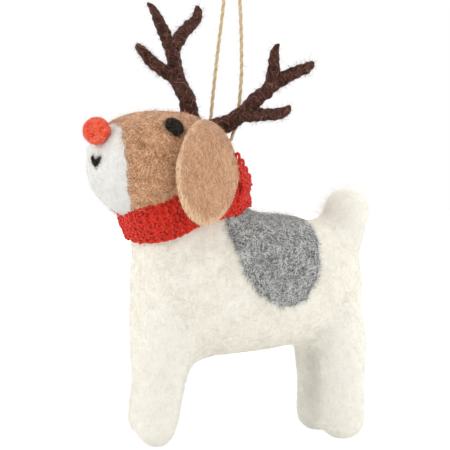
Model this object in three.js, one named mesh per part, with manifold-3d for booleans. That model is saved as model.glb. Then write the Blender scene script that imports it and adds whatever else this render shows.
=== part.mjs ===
// Needle-felted dog ornament: a wool body on four legs, a head with flap ears, antlers of
// wool wound on wire, a knitted scarf and a twine loop to hang it by.
// Millimetres, +Z up. The dog faces -Y and its left side is +X. Heights are set out from the
// soles, and the whole dog then hangs below the origin, where a hook bears on the twine loop.

import * as THREE from 'three';
import { mergeVertices } from 'three/addons/utils/BufferGeometryUtils.js';
import Module from 'manifold-3d';

const wasm = await Module();
wasm.setup();
const radians = THREE.MathUtils.degToRad;
const vector = (point) => new THREE.Vector3(...point);

// Clearance between pieces that touch
const SEAT_GAP = 0.3;

// Body: a barrel lying along Y, and a neck column that rises from its front
const BARREL_LENGTH = 63.4;
const BARREL_WIDTH = 34.6;
const BARREL_HEIGHT = 37;
const BARREL_BLUNTNESS = 2.8;
const BELLY_CLEARANCE = 23.8;
const BELLY_SLOPE = 0.09;
const NECK_LENGTH = 28;
const NECK_WIDTH = 25.6;
const NECK_RISE = 45;
const NECK_SETBACK = 15.4;
const NECK_LEAN = -3;
const NECK_BLUNTNESS = 2.6;

// Legs
const LEG_SPREAD = 17;
const FRONT_LEG_DIAMETER = 13.4;
const REAR_LEG_DIAMETER = 12.2;
const FRONT_LEG_INSET = 7;
const REAR_LEG_INSET = 6.5;
const FRONT_LEG_STAGGER = 2.3;
const REAR_LEG_STAGGER = 1.2;
const FRONT_LEG_SLOPE = 0.07;
const LEG_HEIGHT = 39;
const SOLE_SHARE = 0.46;

// Tail
const TAIL_DIAMETER = 13;
const TAIL_LENGTH = 23;
const TAIL_TILT = -17;
const TAIL_INSET = 6.9;

// Grey saddle patch felted over the back
const PATCH_THICKNESS = 1.2;
const PATCH_FRONT = -8;
const PATCH_BACK = 16.6;
const PATCH_DROP = 23.5;

// Head and white muzzle cap
const HEAD_LENGTH = 39.1;
const HEAD_WIDTH = 30;
const HEAD_HEIGHT = 29.4;
const HEAD_BLUNTNESS = 2.35;
const HEAD_FORWARD = 23.7;
const HEAD_LIFT = 13.4;
const HEAD_TURN = 17;
const MUZZLE_DEPTH = 9;
const MUZZLE_CURVE = 0.042;

// Features of the face
const NOSE_DIAMETER = 7.8;
const NOSE_HEIGHT = 10;
const NOSE_SINK = 0.1;
const EYE_WIDTH = 5.2;
const EYE_BULGE = 2.6;
const EYE_SETBACK = -1.9;
const EYE_HEIGHT = 11.1;
const MOUTH_WIDTH = 6;
const MOUTH_HEIGHT = 3.2;
const MOUTH_DROP = 2.3;
const MOUTH_THICKNESS = 0.7;

// Flap ears: they leave the crown at an angle, drape over the cheek and hang with a slight flare
const EAR_LENGTH = 30;
const EAR_WIDTH = 20.4;
const EAR_THICKNESS = 3.2;
const EAR_BLUNTNESS = 2.1;
const EAR_SEAT_HEIGHT = 11.8;
const EAR_SETBACK = 4.6;
const EAR_SINK = 0.8;
const EAR_SWEEP = 14;
const EAR_TAPER = 0.3;
const EAR_LIE = 53;
const EAR_FLARE = 9;
const EAR_DRAPE = 14;
const EAR_CLEARANCE = 1;

// Antlers: wool wound on a wire core
const ANTLER_BEAM_DIAMETER = 4.8;
const ANTLER_TINE_DIAMETER = 3.7;
const ANTLER_TIP_SHARE = 0.72;
const ANTLER_SINK = 2;
const WIRE_DIAMETER = 0.9;
const WIRE_ANCHOR = 3.5;
const WIRE_SHORT_OF_TIP = 2.4;

// Knitted scarf: a band round the neck, high at the nape, and its loose end
const SCARF_WIDTH = 9.8;
const SCARF_THICKNESS = 2.2;
const SCARF_TILT = 17;
const SCARF_HEIGHT = 64.2;
const SCARF_WAVE = -0.5;
const SCARF_WAVES = 7;
const SCARF_END_HEIGHT = 14;
const SCARF_END_FROM = 30;
const SCARF_END_TO = 43;
const SCARF_END_LIFT = 1.6;

// Twine hanging loop
const TWINE_DIAMETER = 1.1;

// Felt colours
const felt = (color) => new THREE.MeshStandardMaterial({ color, roughness: 0.95, metalness: 0 });
const CREAM = felt(0xf1ece0);
const GREY = felt(0x8d9096);
const TAN = felt(0xb07f58);
const PALE_TAN = felt(0xcb9d74);
const RED_FELT = felt(0xe8432f);
const RED_KNIT = felt(0xc9231b);
const BLACK = felt(0x1b191b);
const DARK_BROWN = felt(0x3d2a25);
const STRAW = felt(0xc09a68);
const STEEL = new THREE.MeshStandardMaterial({ color: 0x8f9195, roughness: 0.4, metalness: 0.9 });

// Solids

function solid(geometry) {
  const plain = geometry.clone();
  plain.deleteAttribute('normal');
  plain.deleteAttribute('uv');
  const merged = mergeVertices(plain, 1e-4);
  return new wasm.Manifold(new wasm.Mesh({
    numProp: 3,
    vertProperties: new Float32Array(merged.attributes.position.array),
    triVerts: new Uint32Array(merged.index.array),
  }));
}

function geometryOf(body) {
  const { numProp, vertProperties, triVerts } = body.getMesh();
  const geometry = new THREE.BufferGeometry();
  const positions = [];
  for (let i = 0; i < vertProperties.length; i += numProp) {
    positions.push(vertProperties[i], vertProperties[i + 1], vertProperties[i + 2]);
  }
  geometry.setAttribute('position', new THREE.Float32BufferAttribute(positions, 3));
  geometry.setIndex([...triVerts]);
  geometry.computeVertexNormals();
  return geometry;
}

const join = (...parts) => geometryOf(parts.map(solid).reduce((sum, next) => sum.add(next)));
const cut = (piece, ...tools) =>
  geometryOf(tools.map(solid).reduce((rest, tool) => rest.subtract(tool), solid(piece)));
const common = (piece, other) => geometryOf(solid(piece).intersect(solid(other)));

// A stuffed form: a ball drawn out to three sizes and made squarer by its bluntness.
function stuffedForm(width, length, height, bluntness, around = 24, along = 16) {
  const geometry = new THREE.SphereGeometry(1, around, along);
  const place = geometry.attributes.position;
  const half = [width / 2, length / 2, height / 2];
  for (let i = 0; i < place.count; i += 1) {
    const way = [place.getX(i), place.getY(i), place.getZ(i)];
    const sum = way.reduce((total, part, axis) => total + Math.abs(part / half[axis]) ** bluntness, 0);
    const reach = sum ** (-1 / bluntness);
    place.setXYZ(i, ...way.map((part) => part * reach));
  }
  return geometry;
}

// A round limb along a curve: its radius follows a function of the share of its length.
function limb(points, radiusAt, steps, sides) {
  const route = new THREE.CatmullRomCurve3(points.map(vector));
  const geometry = new THREE.CylinderGeometry(1, 1, 1, sides, steps, false);
  const frames = route.computeFrenetFrames(steps, false);
  const place = geometry.attributes.position;
  for (let i = 0; i < place.count; i += 1) {
    const row = Math.round((place.getY(i) + 0.5) * steps);
    const radius = radiusAt(row / steps);
    const spot = route.getPointAt(row / steps)
      .addScaledVector(frames.binormals[row], place.getX(i) * radius)
      .addScaledVector(frames.normals[row], place.getZ(i) * radius);
    place.setXYZ(i, spot.x, spot.y, spot.z);
  }
  return geometry;
}

// A band round the Z axis on an oval: its section is a rectangle with softened corners.
function band(inner, thickness, low, high, from, to, wave) {
  const steps = Math.round((to - from) / 10);
  const closed = to - from === 360;
  const corner = thickness * 0.3;
  const section = [
    [0, low + corner], [corner, low], [thickness - corner, low], [thickness, low + corner],
    [thickness, high - corner], [thickness - corner, high], [corner, high], [0, high - corner],
  ];
  const rows = closed ? steps : steps + 1;
  const positions = [];
  for (let row = 0; row < rows; row += 1) {
    const angle = radians(from + ((to - from) * row) / steps);
    const oval = (
      Math.abs(Math.sin(angle) / inner[0]) ** NECK_BLUNTNESS
      + Math.abs(Math.cos(angle) / inner[1]) ** NECK_BLUNTNESS
    ) ** (-1 / NECK_BLUNTNESS);
    const sway = wave * Math.sin(SCARF_WAVES * angle);
    for (const [out, up] of section) {
      const reach = oval + out;
      positions.push(reach * Math.sin(angle), reach * Math.cos(angle), up + sway);
    }
  }
  const index = [];
  const count = section.length;
  for (let row = 0; row < (closed ? rows : rows - 1); row += 1) {
    for (let k = 0; k < count; k += 1) {
      const a = row * count + k;
      const b = row * count + ((k + 1) % count);
      const c = ((row + 1) % rows) * count + k;
      const d = ((row + 1) % rows) * count + ((k + 1) % count);
      index.push(a, b, c, b, d, c);
    }
  }
  if (!closed) {
    const last = (rows - 1) * count;
    for (let k = 1; k < count - 1; k += 1) {
      index.push(0, k + 1, k, last, last + k, last + k + 1);
    }
  }
  const geometry = new THREE.BufferGeometry();
  geometry.setAttribute('position', new THREE.Float32BufferAttribute(positions, 3));
  geometry.setIndex(index);
  return geometry;
}

// Places

const beltHeight = BELLY_CLEARANCE + BARREL_HEIGHT / 2;
const chest = -BARREL_LENGTH / 2;
const rump = BARREL_LENGTH / 2;
const neckCentre = chest + NECK_SETBACK;
const headCentre = new THREE.Vector3(0, -HEAD_FORWARD, BELLY_CLEARANCE + BARREL_HEIGHT + HEAD_LIFT);

const ornament = new THREE.Group();
const dog = new THREE.Group();
ornament.add(dog);
const head = new THREE.Group();
head.position.copy(headCentre);
head.rotation.z = radians(HEAD_TURN);
dog.add(head);
const neckline = new THREE.Group();
neckline.position.set(0, neckCentre, SCARF_HEIGHT);
neckline.rotation.x = radians(SCARF_TILT);
dog.add(neckline);

const toDog = (group, geometry) => {
  group.updateMatrix();
  return geometry.clone().applyMatrix4(group.matrix);
};
const fromDog = (group, geometry) => {
  group.updateMatrix();
  return geometry.clone().applyMatrix4(group.matrix.clone().invert());
};

function piece(parent, name, geometry, material) {
  const mesh = new THREE.Mesh(geometry, material);
  mesh.name = name;
  parent.add(mesh);
}

// Body, cut to seat the head, with a belly that rises towards the rump

function barrel(grow) {
  const geometry = stuffedForm(
    BARREL_WIDTH + 2 * grow, BARREL_LENGTH + 2 * grow, BARREL_HEIGHT + 2 * grow, BARREL_BLUNTNESS,
  );
  const place = geometry.attributes.position;
  for (let i = 0; i < place.count; i += 1) {
    const low = Math.max(0, -place.getZ(i) / (BARREL_HEIGHT / 2));
    place.setZ(i, place.getZ(i) + BELLY_SLOPE * place.getY(i) * low + beltHeight);
  }
  return geometry;
}

function neckColumn(grow) {
  const geometry = stuffedForm(
    NECK_WIDTH + 2 * grow, NECK_LENGTH + 2 * grow, NECK_RISE + 2 * grow, NECK_BLUNTNESS,
  );
  geometry.rotateX(radians(NECK_LEAN));
  return geometry.translate(0, neckCentre, beltHeight + NECK_RISE / 3);
}

const body = (grow) => join(barrel(grow), neckColumn(grow));
const skull = (grow) =>
  stuffedForm(HEAD_WIDTH + 2 * grow, HEAD_LENGTH + 2 * grow, HEAD_HEIGHT + 2 * grow, HEAD_BLUNTNESS);
const grownBody = body(SEAT_GAP);
const grownSkull = skull(SEAT_GAP);
piece(dog, 'torso', cut(body(0), toDog(head, grownSkull)), CREAM);

// Legs: round limbs that swell at the foot and thigh, with a flattened sole

function leg(name, diameter, slope, across, along) {
  const radius = diameter / 2;
  const outline = new THREE.SplineCurve([
    new THREE.Vector2(radius * SOLE_SHARE, 0),
    new THREE.Vector2(radius * 0.9, diameter * 0.22),
    new THREE.Vector2(radius * 0.99, diameter * 0.62),
    new THREE.Vector2(radius * 0.95, diameter * 1.15),
    new THREE.Vector2(radius * 1.08, LEG_HEIGHT * 0.68),
    new THREE.Vector2(radius * 0.8, LEG_HEIGHT * 0.94),
  ]);
  const profile = [new THREE.Vector2(0, 0), ...outline.getPoints(9), new THREE.Vector2(0, LEG_HEIGHT)];
  const geometry = new THREE.LatheGeometry(profile, 16).rotateX(Math.PI / 2);
  geometry.applyMatrix4(new THREE.Matrix4().makeShear(0, 0, 0, 0, 0, slope));
  piece(dog, name, cut(geometry.translate(across, along, 0), grownBody), CREAM);
}

const frontLeg = chest + FRONT_LEG_INSET;
const rearLeg = rump - REAR_LEG_INSET;
for (const [side, name] of [[1, 'left'], [-1, 'right']]) {
  const across = (side * LEG_SPREAD) / 2;
  const front = frontLeg - (side * FRONT_LEG_STAGGER) / 2;
  const rear = rearLeg + (side * REAR_LEG_STAGGER) / 2;
  leg(`front_${name}_leg`, FRONT_LEG_DIAMETER, FRONT_LEG_SLOPE, across, front);
  leg(`rear_${name}_leg`, REAR_LEG_DIAMETER, 0, across, rear);
}

// Tail: a stub that stands up from the rump

const tailRadius = (share) =>
  (TAIL_DIAMETER / 2) * Math.min(1.08 - 0.16 * share, Math.sqrt(1.04 - share ** 9));
const tail = limb([[0, 0, 0], [0, 0, TAIL_LENGTH / 2], [0, 0, TAIL_LENGTH]], tailRadius, 9, 14);
tail.rotateX(radians(TAIL_TILT));
tail.translate(0, rump - TAIL_INSET, beltHeight + BARREL_HEIGHT / 2 - TAIL_LENGTH * 0.7);
piece(dog, 'tail', cut(tail, grownBody), CREAM);

// Saddle patch: a thin skin over the back, trimmed to a tongue on each flank

const patchTop = beltHeight + BARREL_HEIGHT / 2 + PATCH_THICKNESS + 2 * SEAT_GAP;
const patchLow = patchTop - PATCH_DROP - PATCH_THICKNESS;
const tongue = new THREE.Shape();
tongue.moveTo(PATCH_FRONT, patchTop);
tongue.bezierCurveTo(
  PATCH_FRONT + 1, patchTop - PATCH_DROP * 0.6,
  PATCH_FRONT + 7, patchLow,
  PATCH_BACK - 9, patchLow,
);
tongue.bezierCurveTo(
  PATCH_BACK - 1, patchLow,
  PATCH_BACK + 2, patchTop - PATCH_DROP * 0.5,
  PATCH_BACK - 1, patchTop,
);
const tongueBlock = new THREE.ExtrudeGeometry(tongue, {
  depth: BARREL_WIDTH * 1.5, bevelEnabled: false, curveSegments: 10,
});
tongueBlock.applyMatrix4(new THREE.Matrix4().set(
  0, 0, 1, -BARREL_WIDTH * 0.75,
  1, 0, 0, 0,
  0, 1, 0, 0,
  0, 0, 0, 1,
));
const patchOuter = body(SEAT_GAP + PATCH_THICKNESS);
const patchSkin = common(cut(patchOuter, grownBody), tongueBlock);

// Head and muzzle: one form parted on a line that curves forward at the cheeks

function faceBlock(shift) {
  const reach = HEAD_WIDTH;
  const line = -HEAD_LENGTH / 2 + MUZZLE_DEPTH + shift;
  const rim = line - MUZZLE_CURVE * reach ** 2;
  const outline = new THREE.Shape();
  outline.moveTo(-reach, rim);
  outline.quadraticCurveTo(0, 2 * line - rim, reach, rim);
  outline.lineTo(reach, rim - HEAD_LENGTH);
  outline.lineTo(-reach, rim - HEAD_LENGTH);
  const block = new THREE.ExtrudeGeometry(outline, {
    depth: HEAD_HEIGHT * 2, bevelEnabled: false, curveSegments: 16,
  });
  return block.translate(0, 0, -HEAD_HEIGHT);
}

// Height of the head's surface over a point of its plan

function crownAt(across, back) {
  const rest = 1 - Math.abs(across / (HEAD_WIDTH / 2)) ** HEAD_BLUNTNESS
    - Math.abs(back / (HEAD_LENGTH / 2)) ** HEAD_BLUNTNESS;
  return (HEAD_HEIGHT / 2) * Math.max(rest, 0) ** (1 / HEAD_BLUNTNESS);
}

// Distance of the head's side from its middle at a height and a place along it

function sideAt(back, up) {
  const rest = 1 - Math.abs(up / (HEAD_HEIGHT / 2)) ** HEAD_BLUNTNESS
    - Math.abs(back / (HEAD_LENGTH / 2)) ** HEAD_BLUNTNESS;
  return (HEAD_WIDTH / 2) * Math.max(rest, 0) ** (1 / HEAD_BLUNTNESS);
}

// How far forward the face reaches at a height on its middle line

function faceAt(up) {
  const rest = 1 - Math.abs(up / (HEAD_HEIGHT / 2)) ** HEAD_BLUNTNESS;
  return (-HEAD_LENGTH / 2) * Math.max(rest, 0) ** (1 / HEAD_BLUNTNESS);
}

// Antlers: a beam with two tines, each a wool winding with the wire inside it

const wireBore = WIRE_DIAMETER / 2 + SEAT_GAP;
const windingRadius = (diameter) => (share) =>
  (diameter / 2) * (1 - (1 - ANTLER_TIP_SHARE) * share) * Math.min(1, Math.sqrt(1.03 - share ** 10));

// A run of wire along a winding, from a little before its root to short of its tip
function wireRun(points, radius, before, short) {
  const route = points.map(vector);
  const first = route[0].clone().sub(route[1]).setLength(before).add(route[0]);
  const last = route.at(-1).clone().sub(route.at(-2));
  last.setLength(last.length() - short).add(route.at(-2));
  const run = [first, ...route.slice(0, -1), last].map((spot) => spot.toArray());
  return limb(run, () => radius, 10, 6);
}

// Routes in the head's own frame, from the root to each tip
const antlers = {
  left: {
    root: [4, 14.8],
    beam: [[7.1, 0.3, 1.1], [11.2, 2.1, 3.9], [15.4, 3.9, 7.9], [19.5, 5.8, 11.9], [24.4, 3.5, 22.3]],
    upper: [[19.5, 5.8, 11.9], [23.3, 8.8, 14.6], [28, 13, 17.2]],
    lower: [[11.2, 2.1, 3.9], [17.8, 4.4, 3.7], [22, 6.7, 4.4], [24.6, 7.4, 5.7]],
  },
  right: {
    root: [-5.1, 14.8],
    beam: [[-3, -0.1, 7.2], [-8.3, 0.15, 12.8], [-14.4, 2.1, 20.6], [-22.3, 0.6, 32.8]],
    upper: [[-14.4, 2.1, 20.6], [-14.4, 6.3, 25.6], [-15.6, 11, 29], [-16.4, 12.4, 31.8]],
    lower: [[-8.3, 0.15, 12.8], [-12.5, -4.7, 17], [-15.3, -7.6, 21.4]],
  },
};

const sockets = [];
const beams = [];
for (const [name, antler] of Object.entries(antlers)) {
  const [across, back] = antler.root;
  const crown = crownAt(across, back);
  const lift = ([x, y, z]) => [across + x, back + y, crown + z];
  const beam = [[0, 0, -ANTLER_SINK], ...antler.beam].map(lift);
  const upper = antler.upper.map(lift);
  const lower = antler.lower.map(lift);
  const wires = (radius, extra) => join(
    wireRun(beam, radius, WIRE_ANCHOR + extra, WIRE_SHORT_OF_TIP - extra),
    wireRun(upper, radius, 0.01, WIRE_SHORT_OF_TIP - extra),
    wireRun(lower, radius, 0.01, WIRE_SHORT_OF_TIP - extra),
  );
  const wire = wires(WIRE_DIAMETER / 2, 0);
  const bore = wires(wireBore, SEAT_GAP);
  const beamWinding = (grow) =>
    limb(beam, (share) => windingRadius(ANTLER_BEAM_DIAMETER)(share) + grow, 14, 8);
  const tine = (route) => limb(route, windingRadius(ANTLER_TINE_DIAMETER), 8, 8);
  const grownBeam = beamWinding(SEAT_GAP);
  piece(head, `${name}_antler_beam`, cut(beamWinding(0), bore, grownSkull), DARK_BROWN);
  piece(head, `${name}_antler_upper_tine`, cut(tine(upper), grownBeam, bore), DARK_BROWN);
  piece(head, `${name}_antler_lower_tine`, cut(tine(lower), grownBeam, bore), DARK_BROWN);
  piece(head, `${name}_antler_wire`, wire, STEEL);
  sockets.push(bore);
  beams.push(beamWinding(EAR_CLEARANCE));
}

// Twine loop: its ends are buried in the crown behind the antlers

const TWINE_ROUTE = [
  [-5.9, -8.75, 79], [-5.9, -7.95, 81.6], [-5.9, -7.45, 84], [-5.8, -7.15, 87], [-5.5, -6.75, 92],
  [-5, -6.25, 98], [-4.3, -5.65, 105], [-3.5, -4.95, 112], [-2.8, -4.35, 118.7],
  [-2.5, -3.75, 124], [-2.4, -3.02, 128.2], [-2.2, -2.6, 130.4], [-1.3, -2.45, 131.9],
  [0, -2.4, 132.4], [1.3, -2.35, 131.9], [2.2, -2.2, 130.4], [2.4, -2.02, 128.2],
  [2.5, -1.95, 124], [2.8, -1.65, 118.7], [3.5, -1.55, 112], [4.3, -1.65, 105], [4.9, -1.85, 99],
  [5.2, -2.35, 93], [5, -3.05, 87], [4.5, -4.35, 82], [3.9, -5.85, 79.4], [2.9, -8.25, 76.6],
];
const TWINE_APEX = TWINE_ROUTE[13];

function twine(points, radius) {
  const ring = new THREE.Shape().absarc(0, 0, radius, 0, 2 * Math.PI);
  return new THREE.ExtrudeGeometry(ring, {
    steps: 60, bevelEnabled: false, curveSegments: 4,
    extrudePath: new THREE.CatmullRomCurve3(points.map(vector)),
  });
}

function lengthened(points, extra) {
  const past = (end, before) =>
    vector(end).sub(vector(before)).setLength(extra).add(vector(end)).toArray();
  return [past(points[0], points[1]), ...points, past(points.at(-1), points.at(-2))];
}

piece(dog, 'hanging_loop', twine(TWINE_ROUTE, TWINE_DIAMETER / 2), STRAW);
const twineSocket = twine(lengthened(TWINE_ROUTE, SEAT_GAP), TWINE_DIAMETER / 2 + SEAT_GAP);
piece(head, 'head', cut(skull(0), faceBlock(SEAT_GAP), ...sockets, fromDog(head, twineSocket)), TAN);
piece(head, 'muzzle', common(skull(0), faceBlock(0)), CREAM);

// Nose ball, eyes and mouth, each seated on the surface of the face

const nose = stuffedForm(NOSE_DIAMETER, NOSE_DIAMETER, NOSE_DIAMETER, 2, 16, 10);
nose.translate(0, faceAt(NOSE_HEIGHT) - NOSE_DIAMETER / 2 + NOSE_SINK, NOSE_HEIGHT);
piece(head, 'nose_ball', cut(nose, grownSkull), RED_FELT);

for (const [side, name] of [[1, 'left'], [-1, 'right']]) {
  const out = sideAt(EYE_SETBACK, EYE_HEIGHT);
  const eye = stuffedForm(EYE_BULGE, EYE_WIDTH, EYE_WIDTH, 2, 12, 8);
  eye.rotateY(-Math.atan2(EYE_HEIGHT, out));
  eye.translate(out, EYE_SETBACK, EYE_HEIGHT);
  eye.scale(side, 1, 1);
  if (side < 0) {
    eye.index.array.reverse();
  }
  piece(head, `${name}_eye`, cut(eye, grownSkull), BLACK);
}

const smile = new THREE.Shape();
smile.moveTo(0, -MOUTH_HEIGHT / 2);
smile.quadraticCurveTo(MOUTH_WIDTH / 3, -MOUTH_HEIGHT / 6, MOUTH_WIDTH / 2, MOUTH_HEIGHT / 2);
smile.quadraticCurveTo(MOUTH_WIDTH / 4, MOUTH_HEIGHT * 0.7, 0, MOUTH_HEIGHT / 8);
smile.quadraticCurveTo(-MOUTH_WIDTH / 4, MOUTH_HEIGHT * 0.7, -MOUTH_WIDTH / 2, MOUTH_HEIGHT / 2);
smile.quadraticCurveTo(-MOUTH_WIDTH / 3, -MOUTH_HEIGHT / 6, 0, -MOUTH_HEIGHT / 2);
const smileBlock = new THREE.ExtrudeGeometry(smile, {
  depth: HEAD_LENGTH, bevelEnabled: false, curveSegments: 5,
});
smileBlock.rotateX(Math.PI / 2);
smileBlock.translate(0, 0, MOUTH_DROP);
piece(head, 'mouth', common(cut(skull(SEAT_GAP + MOUTH_THICKNESS), grownSkull), smileBlock), BLACK);

// Ears: flat ovals draped over the sides of the head, hanging from their top edge

const lie = radians(EAR_LIE);
const flare = radians(EAR_FLARE);
const earOffset = EAR_THICKNESS / 2 + SEAT_GAP - EAR_SINK;
const earRoot = [
  sideAt(EAR_SETBACK, EAR_SEAT_HEIGHT) + earOffset * Math.cos(lie),
  EAR_SETBACK,
  EAR_SEAT_HEIGHT + earOffset * Math.sin(lie),
];

function earForm(grow) {
  const geometry = stuffedForm(
    EAR_THICKNESS + 2 * grow, EAR_WIDTH + 2 * grow, EAR_LENGTH + 2 * grow, EAR_BLUNTNESS, 20, 14,
  );
  const bend = EAR_DRAPE / (lie - flare);
  const place = geometry.attributes.position;
  for (let i = 0; i < place.count; i += 1) {
    const rise = Math.max(0, place.getZ(i) / (EAR_LENGTH / 2));
    place.setY(i, place.getY(i) * (1 - EAR_TAPER * rise));
  }
  geometry.rotateX(radians(-EAR_SWEEP));
  for (let i = 0; i < place.count; i += 1) {
    const down = EAR_LENGTH / 2 - place.getZ(i);
    const hang = Math.max(0, down - EAR_DRAPE);
    const turn = lie - (down - hang) / bend;
    const out = bend * (Math.cos(turn) - Math.cos(lie)) + hang * Math.sin(flare);
    const up = bend * (Math.sin(turn) - Math.sin(lie)) - hang * Math.cos(flare);
    const thick = place.getX(i);
    place.setXYZ(i, out + thick * Math.cos(turn), place.getY(i), up + thick * Math.sin(turn));
  }
  return geometry.translate(...earRoot);
}

const leftEar = cut(earForm(0), grownSkull, ...beams);
piece(head, 'left_ear', leftEar, PALE_TAN);
const otherSide = new THREE.Group();
otherSide.scale.x = -1;
head.add(otherSide);
piece(otherSide, 'right_ear', leftEar.clone(), PALE_TAN);

// Scarf: the band round the neck and the loose end that stands up at the nape

const scarfInner = [
  NECK_WIDTH / 2 + SEAT_GAP, NECK_LENGTH / 2 / Math.cos(radians(SCARF_TILT)) + SEAT_GAP,
];
const scarfOuter = scarfInner.map((half) => half + SCARF_THICKNESS + SEAT_GAP);
const grownEar = earForm(SEAT_GAP);
const otherEar = geometryOf(solid(grownEar).mirror([1, 0, 0]));
const clear = [grownSkull, grownEar, otherEar].map((tool) => fromDog(neckline, toDog(head, tool)));
const scarfForm = (grow) => band(
  scarfInner, SCARF_THICKNESS + grow, -SCARF_WIDTH / 2 - grow, SCARF_WIDTH / 2 + grow, 0, 360, SCARF_WAVE,
);
piece(neckline, 'scarf_band', cut(scarfForm(0), ...clear, fromDog(neckline, grownBody)), RED_KNIT);
piece(dog, 'saddle_patch', cut(patchSkin, toDog(neckline, scarfForm(SEAT_GAP))), GREY);
const scarfEnd = band(
  scarfOuter, SCARF_THICKNESS * 0.8, SCARF_END_LIFT - SCARF_END_HEIGHT / 2,
  SCARF_END_LIFT + SCARF_END_HEIGHT / 2, SCARF_END_FROM, SCARF_END_TO, SCARF_WAVE,
);
piece(neckline, 'scarf_end', cut(scarfEnd, ...clear, fromDog(neckline, patchOuter)), RED_KNIT);

// Hang the dog so that the underside of the loop's top is at the origin
dog.position.set(-TWINE_APEX[0], -TWINE_APEX[1], -TWINE_APEX[2] + TWINE_DIAMETER / 2);

export default ornament;
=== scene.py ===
"""Felt dog ornament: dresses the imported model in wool, knit and twine, and sets the studio."""

import logging
import math
from dataclasses import dataclass, field
from enum import Enum
from typing import Callable, Sequence

import bpy
import numpy as np
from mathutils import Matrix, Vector, noise
from mathutils.bvhtree import BVHTree


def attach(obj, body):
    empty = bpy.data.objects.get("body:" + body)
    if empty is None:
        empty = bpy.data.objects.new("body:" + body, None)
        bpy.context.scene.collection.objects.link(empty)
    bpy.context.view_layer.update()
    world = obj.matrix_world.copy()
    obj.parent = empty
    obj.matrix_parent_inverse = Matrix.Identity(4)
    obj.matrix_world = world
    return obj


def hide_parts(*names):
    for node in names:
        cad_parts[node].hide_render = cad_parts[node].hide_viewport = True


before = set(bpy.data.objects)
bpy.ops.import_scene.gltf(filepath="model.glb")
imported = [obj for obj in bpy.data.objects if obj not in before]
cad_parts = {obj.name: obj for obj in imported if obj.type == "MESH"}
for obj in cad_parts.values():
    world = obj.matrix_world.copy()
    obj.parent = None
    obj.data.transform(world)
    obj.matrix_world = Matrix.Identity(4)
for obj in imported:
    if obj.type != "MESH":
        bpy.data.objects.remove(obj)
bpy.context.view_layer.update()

LOG = logging.getLogger("felt_dog")
MM = 0.001
HANG = np.array([0.0, 2.4, -131.85])
Colour = tuple[float, float, float]
Faces = list[list[int]]
Mesh = tuple[np.ndarray, Faces]


class Body(Enum):
    """The rigid bodies of the frame that pieces ride on."""

    DOG = "dog"
    LEFT_EAR = "left_ear"
    RIGHT_EAR = "right_ear"


class Lay(Enum):
    """How loose fibres lie on a surface."""

    FLAT = "flat"
    STANDING = "standing"


# Finishes


def linear(colour: Colour) -> tuple[float, float, float, float]:
    """Turns a colour as seen on screen into the linear values that a shader takes.

    Args:
        colour: red, green and blue from 0 to 1, as seen.

    Returns:
        Linear red, green, blue and a full alpha.
    """
    parts = [c / 12.92 if c <= 0.04045 else ((c + 0.055) / 1.055) ** 2.4 for c in colour]
    return (parts[0], parts[1], parts[2], 1.0)


def set_sockets(node: bpy.types.Node, values: dict[str, float | tuple[float, ...]]) -> bpy.types.Node:
    """Sets constant values on a node's own sockets.

    Args:
        node: the node.
        values: the value of each socket, by the socket's name.

    Returns:
        The same node.
    """
    for socket, value in values.items():
        node.inputs[socket].default_value = value
    return node


def plain_material(name: str, values: dict[str, float | tuple[float, ...]]) -> bpy.types.Material:
    """Starts a material with constant values on its shader.

    Args:
        name: the material's name.
        values: the value of each socket of the shader, by the socket's name.

    Returns:
        The new material.
    """
    material = bpy.data.materials.new(name)
    material.use_nodes = True
    set_sockets(material.node_tree.nodes["Principled BSDF"], values)
    return material


def tint_ramp(nodes: bpy.types.Nodes, stops: Sequence[tuple[float, Colour]]) -> bpy.types.Node:
    """Adds a ramp that runs through tints.

    Args:
        nodes: the material's nodes.
        stops: the place of each tint on the ramp, and the tint.

    Returns:
        The ramp's node.
    """
    ramp = nodes.new("ShaderNodeValToRGB")
    first, *between, last = stops
    for element, (place, tint) in zip(ramp.color_ramp.elements, (first, last)):
        element.position = place
        element.color = linear(tint)
    for place, tint in between:
        ramp.color_ramp.elements.new(place).color = linear(tint)
    return ramp


@dataclass(frozen=True)
class Felt:
    """Needle-felted wool: mottled colour, a fine fibrous grain and a soft sheen."""

    name: str
    slot: str
    middle: Colour
    dark: Colour
    light: Colour
    grain: float = 0.55
    bump: float = 0.5
    mottle: float = 220.0
    sheen: float = 0.2

    def material(self) -> bpy.types.Material:
        """Builds the finish's material, or finds it if it is already made.

        Returns:
            A material whose colour and bump come from layered noise.
        """
        found = bpy.data.materials.get(self.name)
        if found:
            return found
        material = plain_material(self.name, {
            "Roughness": 0.95, "Specular IOR Level": 0.12, "Sheen Weight": self.sheen, "Sheen Roughness": 0.6,
        })
        nodes, links = material.node_tree.nodes, material.node_tree.links
        shader = nodes["Principled BSDF"]
        place = nodes.new("ShaderNodeTexCoord")
        patches = set_sockets(nodes.new("ShaderNodeTexNoise"), {
            "Scale": self.mottle, "Detail": 5.0, "Distortion": 0.8,
        })
        fibres = set_sockets(nodes.new("ShaderNodeTexNoise"), {
            "Scale": 1500.0, "Detail": 6.0, "Roughness": 0.7, "Distortion": 2.5,
        })
        blend = set_sockets(nodes.new("ShaderNodeMix"), {"Factor": self.grain})
        ramp = tint_ramp(nodes, ((0.34, self.dark), (0.5, self.middle), (0.66, self.light)))
        relief = set_sockets(nodes.new("ShaderNodeBump"), {"Strength": self.bump, "Distance": 0.25 * MM})
        for texture in (patches, fibres):
            links.new(place.outputs["Object"], texture.inputs["Vector"])
        links.new(patches.outputs["Fac"], blend.inputs[2])
        links.new(fibres.outputs["Fac"], blend.inputs[3])
        links.new(blend.outputs[0], ramp.inputs["Fac"])
        links.new(ramp.outputs["Color"], shader.inputs["Base Color"])
        links.new(fibres.outputs["Fac"], relief.inputs["Height"])
        links.new(relief.outputs["Normal"], shader.inputs["Normal"])
        return material


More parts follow.
